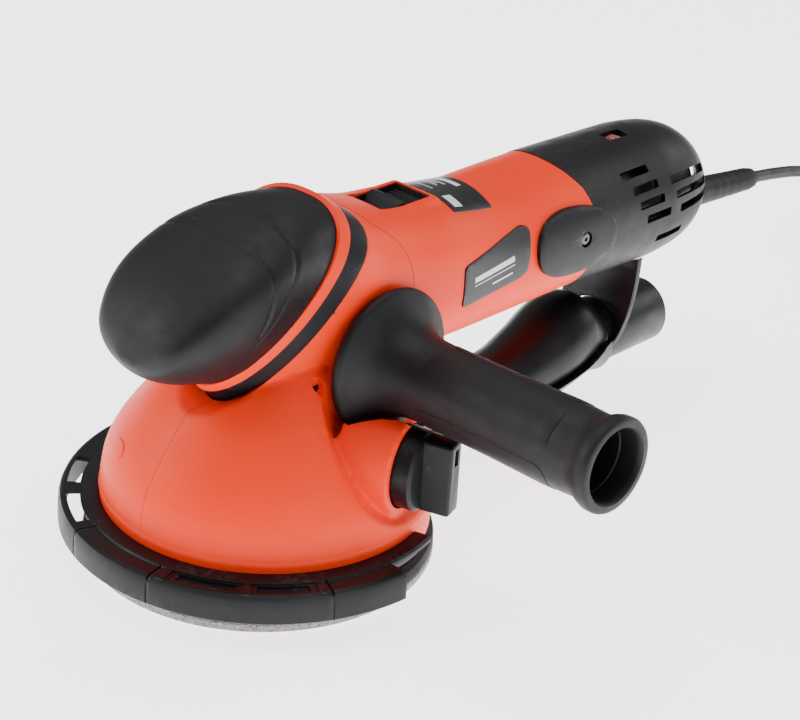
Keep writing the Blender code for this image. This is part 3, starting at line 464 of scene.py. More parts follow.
def dense(rings, per_span):
    """More rings between the given ones, on smooth curves along the loft."""
    columns = [smooth_path([ring[i] for ring in rings], per_span) for i in range(len(rings[0]))]
    return [list(row) for row in zip(*columns)]


def egg_ring(top, bottom, half_width, upper, power_up, power_low, inset=0.0, count=120):
    """Egg-shaped ring across X. upper is the share of its height above the widest line."""
    top, bottom = Vector(top), Vector(bottom)
    rise = (top - bottom).normalized()
    height = (top - bottom).length
    middle = top - rise * height * upper
    ring = []
    for angle in angles(count, 0.5):
        c, s = cos(angle), sin(angle)
        power = power_up if s > 0 else power_low
        reach = (upper if s > 0 else 1 - upper) * height - inset
        x = (half_width - inset) * bulge(c, power)
        ring.append(middle + Vector((x, 0, 0)) + rise * reach * bulge(s, power))
    return ring


def on_rim(offset, slide):
    return RIM_TOP + RIM_FORWARD * offset + RIM_UP * slide


def rim_section(offset):
    """Egg section parallel to the rim plane, for offsets from 0 back to -0.014."""
    back = -offset / 0.014
    top = on_rim(offset, 0.0005 + 0.002 * back)
    bottom = on_rim(offset, -0.0885 - 0.002 * back)
    return top, bottom, 0.0308 + 0.0028 * back, 0.36 - 0.09 * back, 2.4 + 0.3 * back, 1.8


def upright_section(y, top, bottom, half_width, power_up, power_low):
    upper = (top - BARREL_Z) / (top - bottom)
    return (0, y, top), (0, y, bottom), half_width, upper, power_up, power_low


def stood(sign):
    """Turns an outline of (y, z) points to face along X, out from the middle plane."""
    return Matrix(((0, 0, sign, 0), (1, 0, 0, 0), (0, 1, 0, 0), (0, 0, 0, 1)))


def grooved(obj, plane_point, plane_normal, width, depth, inside):
    """Press a soft groove where a plane meets the skin, wherever inside(point) allows."""
    moves = []
    for vert in obj.data.vertices:
        gap = abs((vert.co - plane_point).dot(plane_normal))
        if gap < width and inside(vert.co):
            moves.append((vert, vert.normal * (-depth * cos(gap / width * pi / 2) ** 2)))
    for vert, move in moves:
        vert.co += move
    obj.data.update()


def ride(obj, body, slot, *nodes):
    """Fasten a finished piece to its body, over the CAD nodes that it stands for."""
    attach(obj, body)
    if nodes:
        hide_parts(*nodes)
    return obj


# ---------------------------------------------------------------- orange casing
SECTIONS = [
    rim_section(-0.0125),
    rim_section(-0.0143),
    ((0, 0.038, 0.1465), (0, 0.016, 0.068), 0.0338, 0.42, 2.8, 2.0),
    upright_section(0.056, 0.1418, 0.067, 0.0335, 2.9, 2.1),
    upright_section(0.078, 0.1396, BARREL_BOTTOM, 0.0333, 2.7, 2.0),
    upright_section(0.096, 0.1373, BARREL_BOTTOM, BARREL_RADIUS, 2.3, 2.0),
    upright_section(0.114, BARREL_TOP, BARREL_BOTTOM, BARREL_RADIUS, 2.0, 2.0),
    upright_section(0.140, BARREL_TOP, BARREL_BOTTOM, BARREL_RADIUS, 2.0, 2.0),
    upright_section(0.1725, BARREL_TOP, BARREL_BOTTOM, BARREL_RADIUS, 2.0, 2.0),
]
BELL = [(0.0704, 0.027), (0.0701, 0.0330), (0.0682, 0.0432), (0.0640, 0.0525), (0.0577, 0.0616),
        (0.0500, 0.0712), (0.0422, 0.0790), (0.0300, 0.0880), (0.0150, 0.0945), (0, 0.0960)]
# hollow flank of the bell beside the handle, as (radius, distance from the middle plane)
FLARE = [(0, 0.0325), (0.0325, 0.0325), (0.0370, 0.0362), (0.0430, 0.0432), (0.0500, 0.0530),
         (0.0580, 0.0640), (0.0680, 0.0800), (0, 0.0800)]
HANDLE_AIR = [(0, HANDLE_FACE - GAP), (0.0334, HANDLE_FACE - GAP), (0.0334, 0.0440), (0.0292, 0.0475),
              (0.0234, 0.0530), (0.0202, 0.0590), (0.0190, 0.0780), (0, 0.0780)]
# slope that clears the bell in front of the grip band, as (offset of the ring, spread past the band)
COLLAR = [(-0.0139, 0.0006), (-0.0050, 0.0110), (0.0100, 0.0280), (0.0300, 0.0300)]
# side views of the joints between head and motor housing, and housing and rear cap, as (y, z)
SEAM = [(0.0665, 0.0640), (0.0665, 0.0730), (0.0490, 0.0730), (0.0490, 0.1200), (0.0482, 0.1262),
        (0.0467, 0.1314), (0.0434, 0.1367), (0.0390, 0.1407), (0.0345, 0.1440), (0.0310, 0.1500)]
CAP_EDGE = [(CAP_START, 0.0600), (CAP_START, 0.1190), (0.1685, 0.1260), (0.1642, 0.1324), (0.1600, 0.1370),
            (0.1580, 0.1450)]


def handle_point(out):
    """Point on the handle's axis, or on its twin's where out is negative."""
    run = Vector((copysign(cos(HANDLE_TILT), out), 0, sin(HANDLE_TILT)))
    return HANDLE_BASE + run * abs(out)


def on_handle(obj, sign=1):
    """Move a piece built along +X from the origin to the handle's axis, or its twin on the left."""
    turn = Matrix.Rotation(pi if sign < 0 else 0, 4, "Z")
    obj.data.transform(Matrix.Translation(HANDLE_BASE) @ turn @ Matrix.Rotation(-HANDLE_TILT, 4, "Y"))
    return obj


def knob_point(out):
    return KNOB_OUT * out + Vector((0, 0, KNOB_Z))


def side_cut(name, outline, half=0.06):
    """Outline of (y, z) points spread to both sides of the middle plane."""
    return prism(name, outline, -half, half, facing=stood(1))


def painted(obj, mat):
    obj.data.materials.clear()
    obj.data.materials.append(MAT[mat])
    return obj


def casing_solid(inset):
    """Bell, neck and barrel as one solid, set in by the wall for the hollow inside."""
    profile = [(max(0.0, r - inset), z - (inset if r < 0.068 else 0)) for r, z in curved(BELL[1:])]
    low = BELL_BOTTOM - 0.004
    solid = lathe("casing", [(0, low), (BELL_RADIUS - inset, low), (BELL_RADIUS - inset, 0.027)] + profile)
    for sign in (1, -1):
        flare = [(r + inset * (r > 0), x - inset) for r, x in FLARE]
        join(solid, "DIFFERENCE", on_handle(lathe("flare", flare, axis="X"), sign))
    slope = [egg_ring(*rim_section(offset), inset=-spread - inset) for offset, spread in COLLAR]
    join(solid, "DIFFERENCE", loft("collar_slope", dense(slope, 3)))
    rings = dense([egg_ring(*section, inset=inset) for section in SECTIONS], 5)
    return join(solid, "UNION", loft("neck", rings))


def casing():
    """Orange casing: the two halves of the head, and the motor housing behind the seam."""
    shell = casing_solid(0)
    for side in (1, -1):
        join(shell, "UNION", rod("boss", 0.0170, handle_point(side * 0.022),
                                 handle_point(side * (HANDLE_FACE + 0.0022))))
    platform = block("platform", (-0.0135, 0.0480, 0.130), (0.0135, 0.0845, 0.1404))
    join(shell, "UNION", platform, rod("knob_boss", KNOB_RADIUS + 0.0042, knob_point(0.040),
                                       knob_point(0.0655)))
    blended(shell, 0.0011, 7)
    hollow = blended(casing_solid(WALL), 0.0016, 4)
    join(shell, "DIFFERENCE", hollow)
    housing = placed("orange_motor_housing", shell.data.copy())
    front = [(y + GAP / 2, z) for y, z in SEAM] + [(-0.0700, 0.1600), (-0.0900, 0.0050), (0.0665, 0.0050)]
    rear = [(y - GAP, z) for y, z in CAP_EDGE] + [(0.20, 0.1450), (0.20, 0.0600)]
    well = rounded(block("well", (-0.0102, 0.0505, 0.128), (0.0102, 0.0820, 0.152)), 0.0012)
    join(housing, "DIFFERENCE", side_cut("front", front, 0.1), side_cut("rear", rear), well)
    for sign in (1, -1):
        join(housing, "DIFFERENCE",
             skin_plate("recess", round_corners(BADGE, 0.0030, 0.0004), sign, None, -0.0006, 0.003),
             rod("brush_window", 0.0055, (sign * 0.026, LID_Y, BARREL_Z), (sign * 0.04, LID_Y, BARREL_Z)))
    ride(painted(housing, "orange"), "body", "orange_shell", "motor_housing")

    bead = [(0.0690, 0.0268), (0.0704, 0.0272), (0.0707, 0.0284), (0.0704, 0.0298), (0.0698, 0.0310),
            (0.0690, 0.0314)]
    join(shell, "UNION", lathe("bead", bead, steps=180))
    slope = [(-0.0143, 0.0003), *COLLAR]
    neck = loft("neck_air", dense([egg_ring(*rim_section(o), inset=-spread) for o, spread in slope], 3))
    back = SEAM + [(0.1400, 0.1500), (0.1400, 0.0640)]
    join(shell, "DIFFERENCE", neck, side_cut("back", [(y - GAP / 2, z) for y, z in back]),
         side_cut("barrel", [(0.1300, 0.0600), (0.1300, 0.1600), (0.1900, 0.1600), (0.1900, 0.0600)]),
         block("floor_cut", (-0.2, -0.2, -0.05), (0.2, 0.2, BELL_BOTTOM)),
         rod("duct_hole", 0.0188, (0, 0.030, 0.0395), (0, 0.090, 0.0325)),
         rod("knob_recess", KNOB_RADIUS + 0.0009, knob_point(0.0595), knob_point(0.085)),
         rod("shaft_hole", 0.0056, knob_point(0.04), knob_point(0.07)),
         rod("screw_well", 0.0032, (0.028, -0.0030, 0.0860), (0.05, -0.0030, 0.0860)))
    for sign in (1, -1):
        join(shell, "DIFFERENCE", on_handle(lathe("air", HANDLE_AIR, axis="X"), sign),
             rod("bore", 0.0045, handle_point(sign * 0.018), handle_point(sign * 0.045)))
    for side, sign in (("right", 1), ("left", -1)):
        half = placed(f"orange_head_{side}", shell.data.copy())
        near, far = sorted((0.00012 * sign, 0.12 * sign))
        join(half, "INTERSECT", block("half", (near, -0.12, 0), (far, 0.12, 0.2)))
        ride(painted(half, "orange"), "body", "orange_shell", f"head_shell_{side}")
    bpy.data.objects.remove(shell, do_unlink=True)
    bell_oval()


def bell_oval():
    """Shallow moulded oval on the front of the bell: a thin skin along it, stamped towards the axis."""
    spin, middle_z = radians(-117), 0.0520
    half_width, half_height = BELL_RADIUS * radians(5.2), 0.0034
    proud, sunk = 0.00035, -0.0006
    skin = curved([(r, z) for r, z in BELL if 0.030 < r])
    normals = []
    for i in range(len(skin)):
        run = Vector(skin[min(i + 1, len(skin) - 1)]) - Vector(skin[max(i - 1, 0)])
        normals.append(Vector((run.y, -run.x)).normalized())
    ring = [(r + n.x * proud, z + n.y * proud) for (r, z), n in zip(skin, normals)]
    ring += [(r + n.x * sunk, z + n.y * sunk) for (r, z), n in zip(skin[::-1], normals[::-1])]
    patch = lathe("bell_oval", ring, "orange", steps=240)
    loop = [(half_width * cos(a), middle_z + half_height * sin(a)) for a in angles(48)]
    facing = Matrix.Rotation(spin, 4, "Z") @ stood(1)
    join(patch, "INTERSECT", prism("stamp", loop, 0.02, 0.09, facing=facing))
    ride(painted(rounded(patch, 0.0003, 2), "orange"), "body", "orange_shell")


# ---------------------------------------------------------------- plates on the barrel
def round_corners(outline, radius, grow=0.0, steps=5):
    """Outline with its corners pushed out by grow, then each replaced by a Bezier arc."""
    points = [Vector(p) for p in outline]
    middle = sum(points, Vector((0, 0))) / len(points)
    points = [p + (p - middle).normalized() * grow for p in points]
    result = []
    for before, here, after in zip(points[-1:] + points, points, points[1:] + points[:1]):
        reach = min(radius, (before - here).length / 2.2, (after - here).length / 2.2)
        start = here + (before - here).normalized() * reach
        end = here + (after - here).normalized() * reach
        for k in range(steps + 1):
            t = k / steps
            result.append(tuple(start * (1 - t) ** 2 + here * 2 * t * (1 - t) + end * t * t))
    return result


PLATES = SECTIONS[4:-1] + [upright_section(0.200, BARREL_TOP, BARREL_BOTTOM, BARREL_RADIUS, 2.0, 2.0)]


def barrel_skin(name, low, high, mat=None):
    """Sleeve round the barrel between two heights above its surface."""
    sleeve = loft(name, dense([egg_ring(*s, inset=-high) for s in PLATES], 6), mat)
    return join(sleeve, "DIFFERENCE", loft("under", dense([egg_ring(*s, inset=-low) for s in PLATES], 6)))


def skin_plate(name, outline, sign, mat, low, high):
    """Plate that follows the barrel's flank, stamped by an outline of (y, z) points."""
    return join(barrel_skin(name, low, high, mat), "INTERSECT",
                prism("stamp", outline, 0.0, 0.06, facing=stood(sign)))


def top_plate(name, outline, mat, low, high):
    plate = join(barrel_skin(name, low, high, mat), "INTERSECT", prism("stamp", outline, 0.105, 0.16))
    ride(plate, "body", "badge")


BADGE = [(0.0808, 0.0960), (0.0814, 0.1150), (0.1215, 0.1216), (0.1265, 0.1200), (0.1222, 0.1020),
         (0.1185, 0.0998)]
# plain bars in place of print, as (start y, end y, low z, high z) before the badge's lean
BADGE_BARS = [(0.0875, 0.1135, 0.1062, 0.1086), (0.0875, 0.1135, 0.1045, 0.1049),
              (0.0990, 0.1120, 0.1022, 0.1030)]
# bars on the rating plate, as (left, right, front, back)
LABEL_BARS = [(-0.0160, 0.0040, 0.1050, 0.1078), (-0.0160, 0.0000, 0.1016, 0.1024),
              (-0.0160, -0.0030, 0.0996, 0.1003), (-0.0160, -0.0010, 0.0976, 0.0983),
              (-0.0160, 0.0010, 0.0925, 0.0931), (0.0090, 0.0170, 0.0900, 0.0950)]


def lid_outline():
    """Leaning rounded outline of (y, z) points round a brush cover."""
    middle, lean, power = Vector((0.1555, 0.106)), Matrix.Rotation(radians(-6), 2), 2.25
    half_length, half_height = 0.0270, 0.0155
    return [tuple(middle + lean @ Vector((half_length * bulge(cos(a), power),
                                          half_height * bulge(sin(a), power)))) for a in angles(72)]


def side_trim():
    """Badges, brush covers and their screws on both flanks of the barrel."""
    lean = tan(radians(6))
    for side, sign in (("right", 1), ("left", -1)):
        badge = skin_plate(f"badge_{side}", round_corners(BADGE, 0.0030), sign, "badge", -0.0005, 0.0005)
        ride(rounded(badge, 0.0002, 2), "body", "badge", f"side_badge_{side}")
        for number, (y0, y1, z0, z1) in enumerate(BADGE_BARS):
            outline = [(y0, z0), (y1, z0 + (y1 - y0) * lean), (y1, z1 + (y1 - y0) * lean), (y0, z1)]
            bar = skin_plate(f"badge_bar_{side}_{number}", outline, sign, "print", 0.0005, 0.00058)
            ride(bar, "body", "badge")
        cover = skin_plate(f"brush_lid_{side}", lid_outline(), sign, "black", GAP, 0.0021)
        join(cover, "DIFFERENCE",
             rod("well", 0.0037, (sign * 0.0300, LID_Y, LID_Z), (sign * 0.0400, LID_Y, LID_Z)))
        ride(rounded(painted(cover, "black"), 0.0007, 3), "body", "black_shell", f"brush_cover_{side}")
        seat = lathe(f"screw_seat_{side}", [(0.0, 0.0), (0.0036, 0.0), (0.0036, 0.0004), (0, 0.0004)],
                     "black", "X", steps=32)
        head = [(0, 0.0005), (0.0028, 0.0005), (0.0028, 0.0010), (0.0023, 0.0014), (0, 0.0014)]
        screw = lathe(f"lid_screw_{side}", head, "zinc", "X", steps=32)
        for piece in (seat, screw):
            piece.data.transform(Matrix.Translation((sign * 0.0333, LID_Y, LID_Z))
                                 @ Matrix.Rotation(0 if sign > 0 else pi, 4, "Z"))
        join(screw, "DIFFERENCE",
             rod("star", 0.0012, (sign * 0.0339, LID_Y, LID_Z), (sign * 0.036, LID_Y, LID_Z), sides=6))
        ride(painted(screw, "zinc"), "body", "steel", f"cover_screw_{side}")
        ride(seat, "body", "black_shell")


# ---------------------------------------------------------------- rear cap
# cooling slots on each side, as (start y, end y, degrees above the widest line)
VENTS = [(0.1949, 0.2146, 42), (0.1994, 0.2178, 28), (0.2026, 0.2208, 15), (0.2076, 0.2254, 2),
         (0.2190, 0.2384, -21), (0.2269, 0.2600, 28), (0.2299, 0.2615, 15), (0.2333, 0.2620, 2)]


def rear_cap():
    """Black cap that closes the barrel, with cooling slots, the dial's window and the cord gland."""
    wall, r = 0.0024, BARREL_RADIUS
    outer = [(r, 0.156), (r, 0.226), (r - 0.0001, 0.230), (0.0323, 0.239), (0.0309, 0.248), (0.0283, 0.2562),
             (0.0242, 0.2632), (0.0190, 0.2690), (0.0130, 0.2740), (0.0085, 0.2775)]
    inner = [(0.0085, 0.2751), (0.0120, 0.2718), (0.0175, 0.2668), (0.0224, 0.2612), (0.0260, 0.2548),
             (0.0286, 0.2470), (0.0299, 0.238), (r - wall, 0.230), (r - wall, 0.156)]
    profile = [(radius, y - CAP_START) for radius, y in [outer[0], *curved(outer[1:]), *inner]]
    cap = lathe("black_rear_cap", profile, steps=160)
    lie = Matrix.Translation((0, CAP_START, BARREL_Z)) @ Matrix.Rotation(-pi / 2 - CAP_DROP, 4, "X")
    cap.data.transform(lie)
    join(cap, "UNION", rounded(rod("gland", 0.0105, RELIEF_BASE - RELIEF_OUT * 0.017,
                                   RELIEF_BASE + RELIEF_OUT * 0.0055), 0.0012))
    join(cap, "DIFFERENCE", side_cut("front", CAP_EDGE + [(0.1500, 0.1450), (0.1500, 0.0600)]),
         rod("gland_hole", 0.0073, RELIEF_BASE - RELIEF_OUT * 0.017, RELIEF_BASE + RELIEF_OUT * 0.013),
         rounded(block("window", (0.0007, 0.2065, 0.126), (0.0075, 0.2200, 0.145)), 0.0008))
    for start, end, lift in VENTS:
        for sign in (1, -1):
            angle = radians(lift)
            slot = rounded(block("vent", (-0.0085, start, -0.0020), (0.0070, end, 0.0020)), 0.0006, 2)
            axis_z = BARREL_Z - ((start + end) / 2 - CAP_START) * tan(CAP_DROP)
            turn = Matrix.Rotation(-angle, 4, "Y")
            if sign < 0:
                turn = Matrix.Rotation(pi, 4, "Z") @ turn
                slot.data.transform(Matrix.Translation((0, -(start + end), 0)))
            place = Matrix.Translation((sign * r * cos(angle), 0, axis_z + r * sin(angle)))
            slot.data.transform(place @ turn)
            join(cap, "DIFFERENCE", slot)
    ride(painted(cap, "black"), "body", "black_shell", "rear_cap")
    sleeve = [(0.0255, 0.190), (0.0270, 0.190), (0.0270, 0.240), (0.0252, 0.250), (0.0215, 0.257),
              (0.0120, 0.262), (0.0120, 0.260), (0.0203, 0.2555), (0.0238, 0.249), (0.0255, 0.2395)]
    baffle = lathe("cap_baffle", [(radius, y - CAP_START) for radius, y in sleeve], steps=72)
    baffle.data.transform(lie)
    join(baffle, "DIFFERENCE", block("dial_air", (-0.0085, 0.2035, 0.1180), (0.0085, 0.2230, 0.1400)))
    ride(painted(baffle, "black"), "body", "black_shell")


# ---------------------------------------------------------------- palm grip
# top (y, z), bottom (y, z), half width, share of height above the widest line, power of the top
GRIP_SECTIONS = [
    (0.0171, 0.1558, -0.0404, 0.0887, 0.0308, 0.36, 2.4),
    (-0.0014, 0.1566, -0.0450, 0.0905, 0.0332, 0.34, 2.6),
    (-0.0182, 0.1545, -0.0500, 0.0922, 0.0350, 0.33, 2.8),
    (-0.0314, 0.1508, -0.0545, 0.0938, 0.0352, 0.32, 2.9),
    (-0.0459, 0.1449, -0.0600, 0.0957, 0.0340, 0.32, 3.0),
    (-0.0570, 0.1382, -0.0655, 0.0980, 0.0315, 0.32, 3.0),
    (-0.0672, 0.1300, -0.0708, 0.1010, 0.0265, 0.32, 2.9),
    (-0.0735, 0.1226, -0.0750, 0.1045, 0.0200, 0.34, 2.6),
    (-0.0782, 0.1112, -0.0782, 0.1090, 0.0040, 0.50, 2.0),
]
# moulded lines on each flank of the grip, as (x, y, z) from the top down
GRIP_LINES = [
    [(0, -0.0290, 0.1510), (0.022, -0.0320, 0.1490), (0.028, -0.0320, 0.1410), (0.032, -0.0350, 0.1280),
     (0.032, -0.0380, 0.1200)],
    [(0, -0.0088, 0.1560), (0.020, -0.0150, 0.1530), (0.027, -0.0175, 0.1470), (0.031, -0.0230, 0.1365),
     (0.031, -0.0300, 0.1250), (0.027, -0.0380, 0.1140), (0.020, -0.0400, 0.1030)],
]


def palm_grip():
    rings = [egg_ring((0, ty, tz), (0, ly, lz), width, upper, power, 1.9, count=96)
             for ty, tz, ly, lz, width, upper, power in GRIP_SECTIONS]
    rings = dense(rings, 4)
    lead = [p + RIM_FORWARD * -0.006 for p in rings[0]]
    grip = blended(loft("palm_grip_rubber", [lead, *rings], "rubber"), 0.0010, 5)
    for line in GRIP_LINES:
        pressed(grip, smooth_path(line, 8), 0.0015, 0.0007)
    grooved(grip, Vector(), Vector((1, 0, 0)), 0.0006, 0.00015, lambda p: True)
    half = prism("behind", [(-0.1, -0.1), (0.1, -0.1), (0.1, 0.1), (-0.1, 0.1)], 0.0, 0.05)
    turn = Matrix((Vector((1, 0, 0)), RIM_UP, -RIM_FORWARD)).transposed().to_4x4()
    half.data.transform(Matrix.Translation(RIM_TOP) @ turn)
    join(grip, "DIFFERENCE", half)
    ride(painted(grip, "rubber"), "body", "grip_rubber", "palm_grip")


def pressed(obj, line, width, depth):
    """Press a soft groove along a line given for the right side and mirrored to the left."""
    points = [(p.y, p.z) for p in line]
    for vert in obj.data.vertices:
        gap = min(span_gap((vert.co.y, vert.co.z), a, b) for a, b in zip(points, points[1:]))
        if gap < width and abs(vert.normal.x) + vert.normal.z > -0.1:
            vert.co -= vert.normal * (depth * cos(gap / width * pi / 2) ** 2)
    obj.data.update()


def span_gap(p, a, b):
    run = (b[0] - a[0], b[1] - a[1])
    t = ((p[0] - a[0]) * run[0] + (p[1] - a[1]) * run[1]) / (run[0] ** 2 + run[1] ** 2)
    t = min(1.0, max(0.0, t))
    return hypot(p[0] - a[0] - run[0] * t, p[1] - a[1] - run[1] * t)


def rim_ring(name, start, end, mat, slot, node, soft, sink):
    """Rounded ring between two planes parallel to the grip's rim."""
    steps = [start + (end - start) * k / 4 for k in range(5)]
    ring = loft(name, [egg_ring(*rim_section(o), inset=sink) for o in steps], mat)
    inner = [egg_ring(*rim_section(o), inset=WALL) for o in (start + 0.002, *steps[1:-1], end - 0.002)]
    join(ring, "DIFFERENCE", loft("hollow", inner))
    ride(rounded(ring, soft, 3, 50), "body", slot, node)


def rim_rings():
    rim_ring("orange_grip_rim", -0.00005, -0.0050, "orange", "orange_shell", "grip_rim", 0.0006, -0.0010)
    rim_ring("black_grip_band", -0.00515, -0.0139, "rubber", "grip_rubber", "grip_band", 0.0005, -0.0002)


# ---------------------------------------------------------------- side handle
def side_handle():
    face, end = HANDLE_FACE, HANDLE_END
    curve = [(0.0305, face + 0.0010), (0.0321, face + 0.0035), (0.0312, face + 0.0062),
             (0.0272, face + 0.0085), (0.0218, face + 0.0130), (0.0185, face + 0.0200),
             (0.0173, face + 0.0320), (0.0172, 0.100), (0.0178, 0.132), (0.0174, 0.1465)]
    collar = [(0.0178, 0.1490), (0.0190, 0.1515), (0.0199, 0.1540), (0.0200, 0.1550), (0.0200, end - 0.0014),
              (0.0195, end - 0.0004), (0.0188, end), (0.0164, end), (0.0157, end - 0.0006),
              (0.0152, end - 0.003), (0.0147, end - 0.010), (0.0142, end - 0.0105), (0.0138, 0.078),
              (0.0045, 0.078)]
    profile = [(0.0045, face), (0.0280, face), *curved(curve, 5), *collar]
    grip = lathe("side_handle_rubber", profile, "rubber", "X", steps=128, smooth=40)
    for ring_x in (0.0640, 0.1485):
        grooved(grip, Vector((ring_x, 0, 0)), Vector((1, 0, 0)), 0.0008, 0.00025, lambda p: True)
    ride(on_handle(grip), "body", "grip_rubber", "handle_grip")
    outline = round_corners([(0.0680, -0.0095), (0.1370, -0.0105), (0.1370, 0.0105), (0.0680, 0.0095)],
                            0.006)
    for number in range(4):
        skin = lathe(f"handle_panel_{number}", [(0.0150, 0.064), (0.01755, 0.066), (0.01755, 0.100),
                                                (0.01815, 0.132), (0.0179, 0.141), (0.0150, 0.143)],
                     "rubber", "X", steps=128, smooth=40)
        join(skin, "INTERSECT", prism("stamp", outline, 0.0, 0.03))
        skin.data.transform(Matrix.Rotation(radians(45 + 90 * number), 4, "X"))
        ride(on_handle(rounded(skin, 0.0003, 2, 40)), "body", "grip_rubber")


# ---------------------------------------------------------------- mode knob
def mode_knob():
    profile = [(0, 0.0600), (KNOB_RADIUS - 0.0006, 0.0600), (KNOB_RADIUS, 0.0606), (KNOB_RADIUS, 0.0726),
               (KNOB_RADIUS - 0.0014, 0.0740), (0, 0.0740)]
    knob = lathe("mode_knob_black", profile, "black", "X", (0, 0, KNOB_Z), 96)
    bar = block("bar", (0.0700, -0.0050, KNOB_Z - 0.0162), (0.0865, 0.0050, KNOB_Z + 0.0162))
    notch = block("notch", (0.0850, -0.0017, KNOB_Z + 0.0060), (0.0900, 0.0017, KNOB_Z + 0.0135))
    join(knob, "UNION", rounded(bar, 0.0014),
         rod("shaft", 0.0050, (0.0430, 0, KNOB_Z), (0.0650, 0, KNOB_Z)))
    join(knob, "DIFFERENCE", rounded(notch, 0.0003))
    knob.data.transform(Matrix.Rotation(KNOB_ANGLE, 4, "Z"))
    ride(rounded(painted(knob, "black"), 0.0004, 2, 50), "knob", "black_shell", "mode_knob")


# ---------------------------------------------------------------- guard
def pad_guard():
    inner, outer, plate = BELL_RADIUS + GAP, GUARD_RADIUS, WALL
    profile = [(inner, 0.0158), (inner + 0.0022, 0.0158), (inner + 0.0022, GUARD_HIGH - plate),
               (outer - 0.0028, GUARD_HIGH - plate), (outer - 0.0028, GUARD_LOW), (outer - 0.0004, GUARD_LOW),
               (outer, GUARD_LOW + 0.0005), (outer, 0.0180), (outer - 0.0003, GUARD_HIGH - 0.0030),
               (outer - 0.0011, GUARD_HIGH - 0.0012), (outer - 0.0024, GUARD_HIGH - 0.0004),
               (outer - 0.0034, GUARD_HIGH - 0.0004), (0.0780, GUARD_HIGH - 0.0009),
               (0.0775, GUARD_HIGH), (inner, GUARD_HIGH)]
    guard = lathe("bumper_guard", profile, "black", steps=240)
    for low, high in ((-149, -134), (-129, -111)):
        join(guard, "DIFFERENCE", sector("slot", 0.0784, 0.0840, low, high, 0.018, 0.03))
    for low, high in ((-69, -51.5), (-46, -31)):
        join(guard, "DIFFERENCE", sector("pocket", 0.0786, 0.0836, low, high, GUARD_HIGH - 0.0020, 0.03))
    for low, high in ((-76.4, -75.8), (-25.7, -25.1), (-107.0, -106.5)):
        join(guard, "DIFFERENCE", sector("cut", 0.0774, 0.0900, low, high, 0.0232, 0.03, step=0.2),
             sector("joint", GUARD_RADIUS - 0.0004, 0.0900, low, high, 0.005, 0.03, step=0.2))
    join(guard, "DIFFERENCE", sector("rear", 0.060, 0.100, 17, 163, 0.005, 0.035),
         sector("right", 0.0782, 0.100, -3, 20, 0.005, 0.035),
         sector("left", 0.0782, 0.100, 160, 183, 0.005, 0.035))
    ride(rounded(painted(guard, "black"), 0.0003, 2, 40), "body", "black_shell", "pad_guard")
    low, high = GUARD_HIGH - 0.0012, GUARD_HIGH - 0.0001
    for start, end in ((-74.0, -71.5), (-49.8, -47.4), (-29.0, -27.2)):
        rib = sector(f"guard_rib_{int(-start)}", 0.0776, 0.0862, start, end, low, high, "black")
        ride(rounded(rib, 0.0003, 2), "body", "black_shell")
    wall = sector("guard_wall", 0.0772, 0.0779, -74.0, -27.0, low, high, "black")
    ride(rounded(wall, 0.0002, 2), "body", "black_shell")


# ---------------------------------------------------------------- switch, label and dial
def power_switch():
    button = block("slide_button", (-0.0092, 0.0578, 0.1337), (0.0092, 0.0812, 0.1378), "black")
    ridge = side_cut("ridge", [(0.0600, 0.1372), (0.0632, 0.1408), (0.0650, 0.1416), (0.0672, 0.1414),
                               (0.0682, 0.1372)], 0.0092)
    join(button, "UNION", ridge, block("stem", (-0.003, 0.0665, 0.1300), (0.003, 0.0725, 0.1340)))
    for k in range(4):
        rib = block("rib", (-0.0078, 0.0705 + 0.0023 * k, 0.1370), (0.0078, 0.0715 + 0.0023 * k, 0.1387))
        join(button, "UNION", rib)
    ride(rounded(painted(button, "black"), 0.0004, 2), "switch", "black_shell", "switch_button")
    lining = block("switch_bed", (-0.01010, 0.0507, 0.1315), (0.01010, 0.0818, 0.1334), "label")
    join(lining, "DIFFERENCE", block("groove", (-0.0045, 0.0535, 0.1290), (0.0045, 0.0785, 0.150)))
    ride(painted(lining, "label"), "body", "black_shell")
    rim = block("switch_rim", (-0.01015, 0.0506, 0.1334), (0.01015, 0.0819, 0.1400), "black")
    join(rim, "DIFFERENCE", block("inside", (-0.0096, 0.0512, 0.1300), (0.0096, 0.0813, 0.1450)))
    ride(rounded(painted(rim, "black"), 0.0002, 2), "body", "black_shell")


def top_label():
    """Rating plate on the barrel's top with plain bars in place of its print."""
    outline = round_corners([(-0.0195, 0.0870), (0.0195, 0.0870), (0.0195, 0.1115), (-0.0195, 0.1115)],
                            0.001)
    top_plate("rating_plate", outline, "label", 0.00002, 0.0003)
    for number, (x0, x1, y0, y1) in enumerate(LABEL_BARS):
        top_plate(f"plate_bar_{number}", [(x0, y0), (x1, y0), (x1, y1), (x0, y1)], "print", 0.0003, 0.00036)


def speed_dial():
    at = centre_of("speed_dial")
    wheel = lathe("speed_wheel", [(0.0016, -0.0028), (0.0069, -0.0028), (0.0076, -0.0021), (0.0076, 0.0021),
                                  (0.0069, 0.0028), (0.0016, 0.0028)], "dial", "X", at, 72)
    for a in angles(24):
        middle = at + Vector((0, 0.0077 * cos(a), 0.0077 * sin(a)))
        half = Vector((0.004, 0, 0))
        join(wheel, "DIFFERENCE", rod("flute", 0.00045, middle - half, middle + half, sides=8))
    ride(painted(wheel, "dial"), "dial", "dial", "speed_dial")


# ---------------------------------------------------------------- dust duct
# (y, z, radius) of the duct's round sections, from the bell to the nozzle
DUCT = [(0.0600, 0.0360, 0.0180), (0.0900, 0.0305, 0.0175), (0.1200, 0.0265, 0.0165),
        (0.1450, 0.0258, 0.0167), (0.1650, 0.0300, 0.0185), (0.1820, 0.0358, 0.0205),
        (0.1950, 0.0380, 0.0200), (0.2045, 0.0352, 0.0178), (0.2100, 0.0320, 0.0160)]
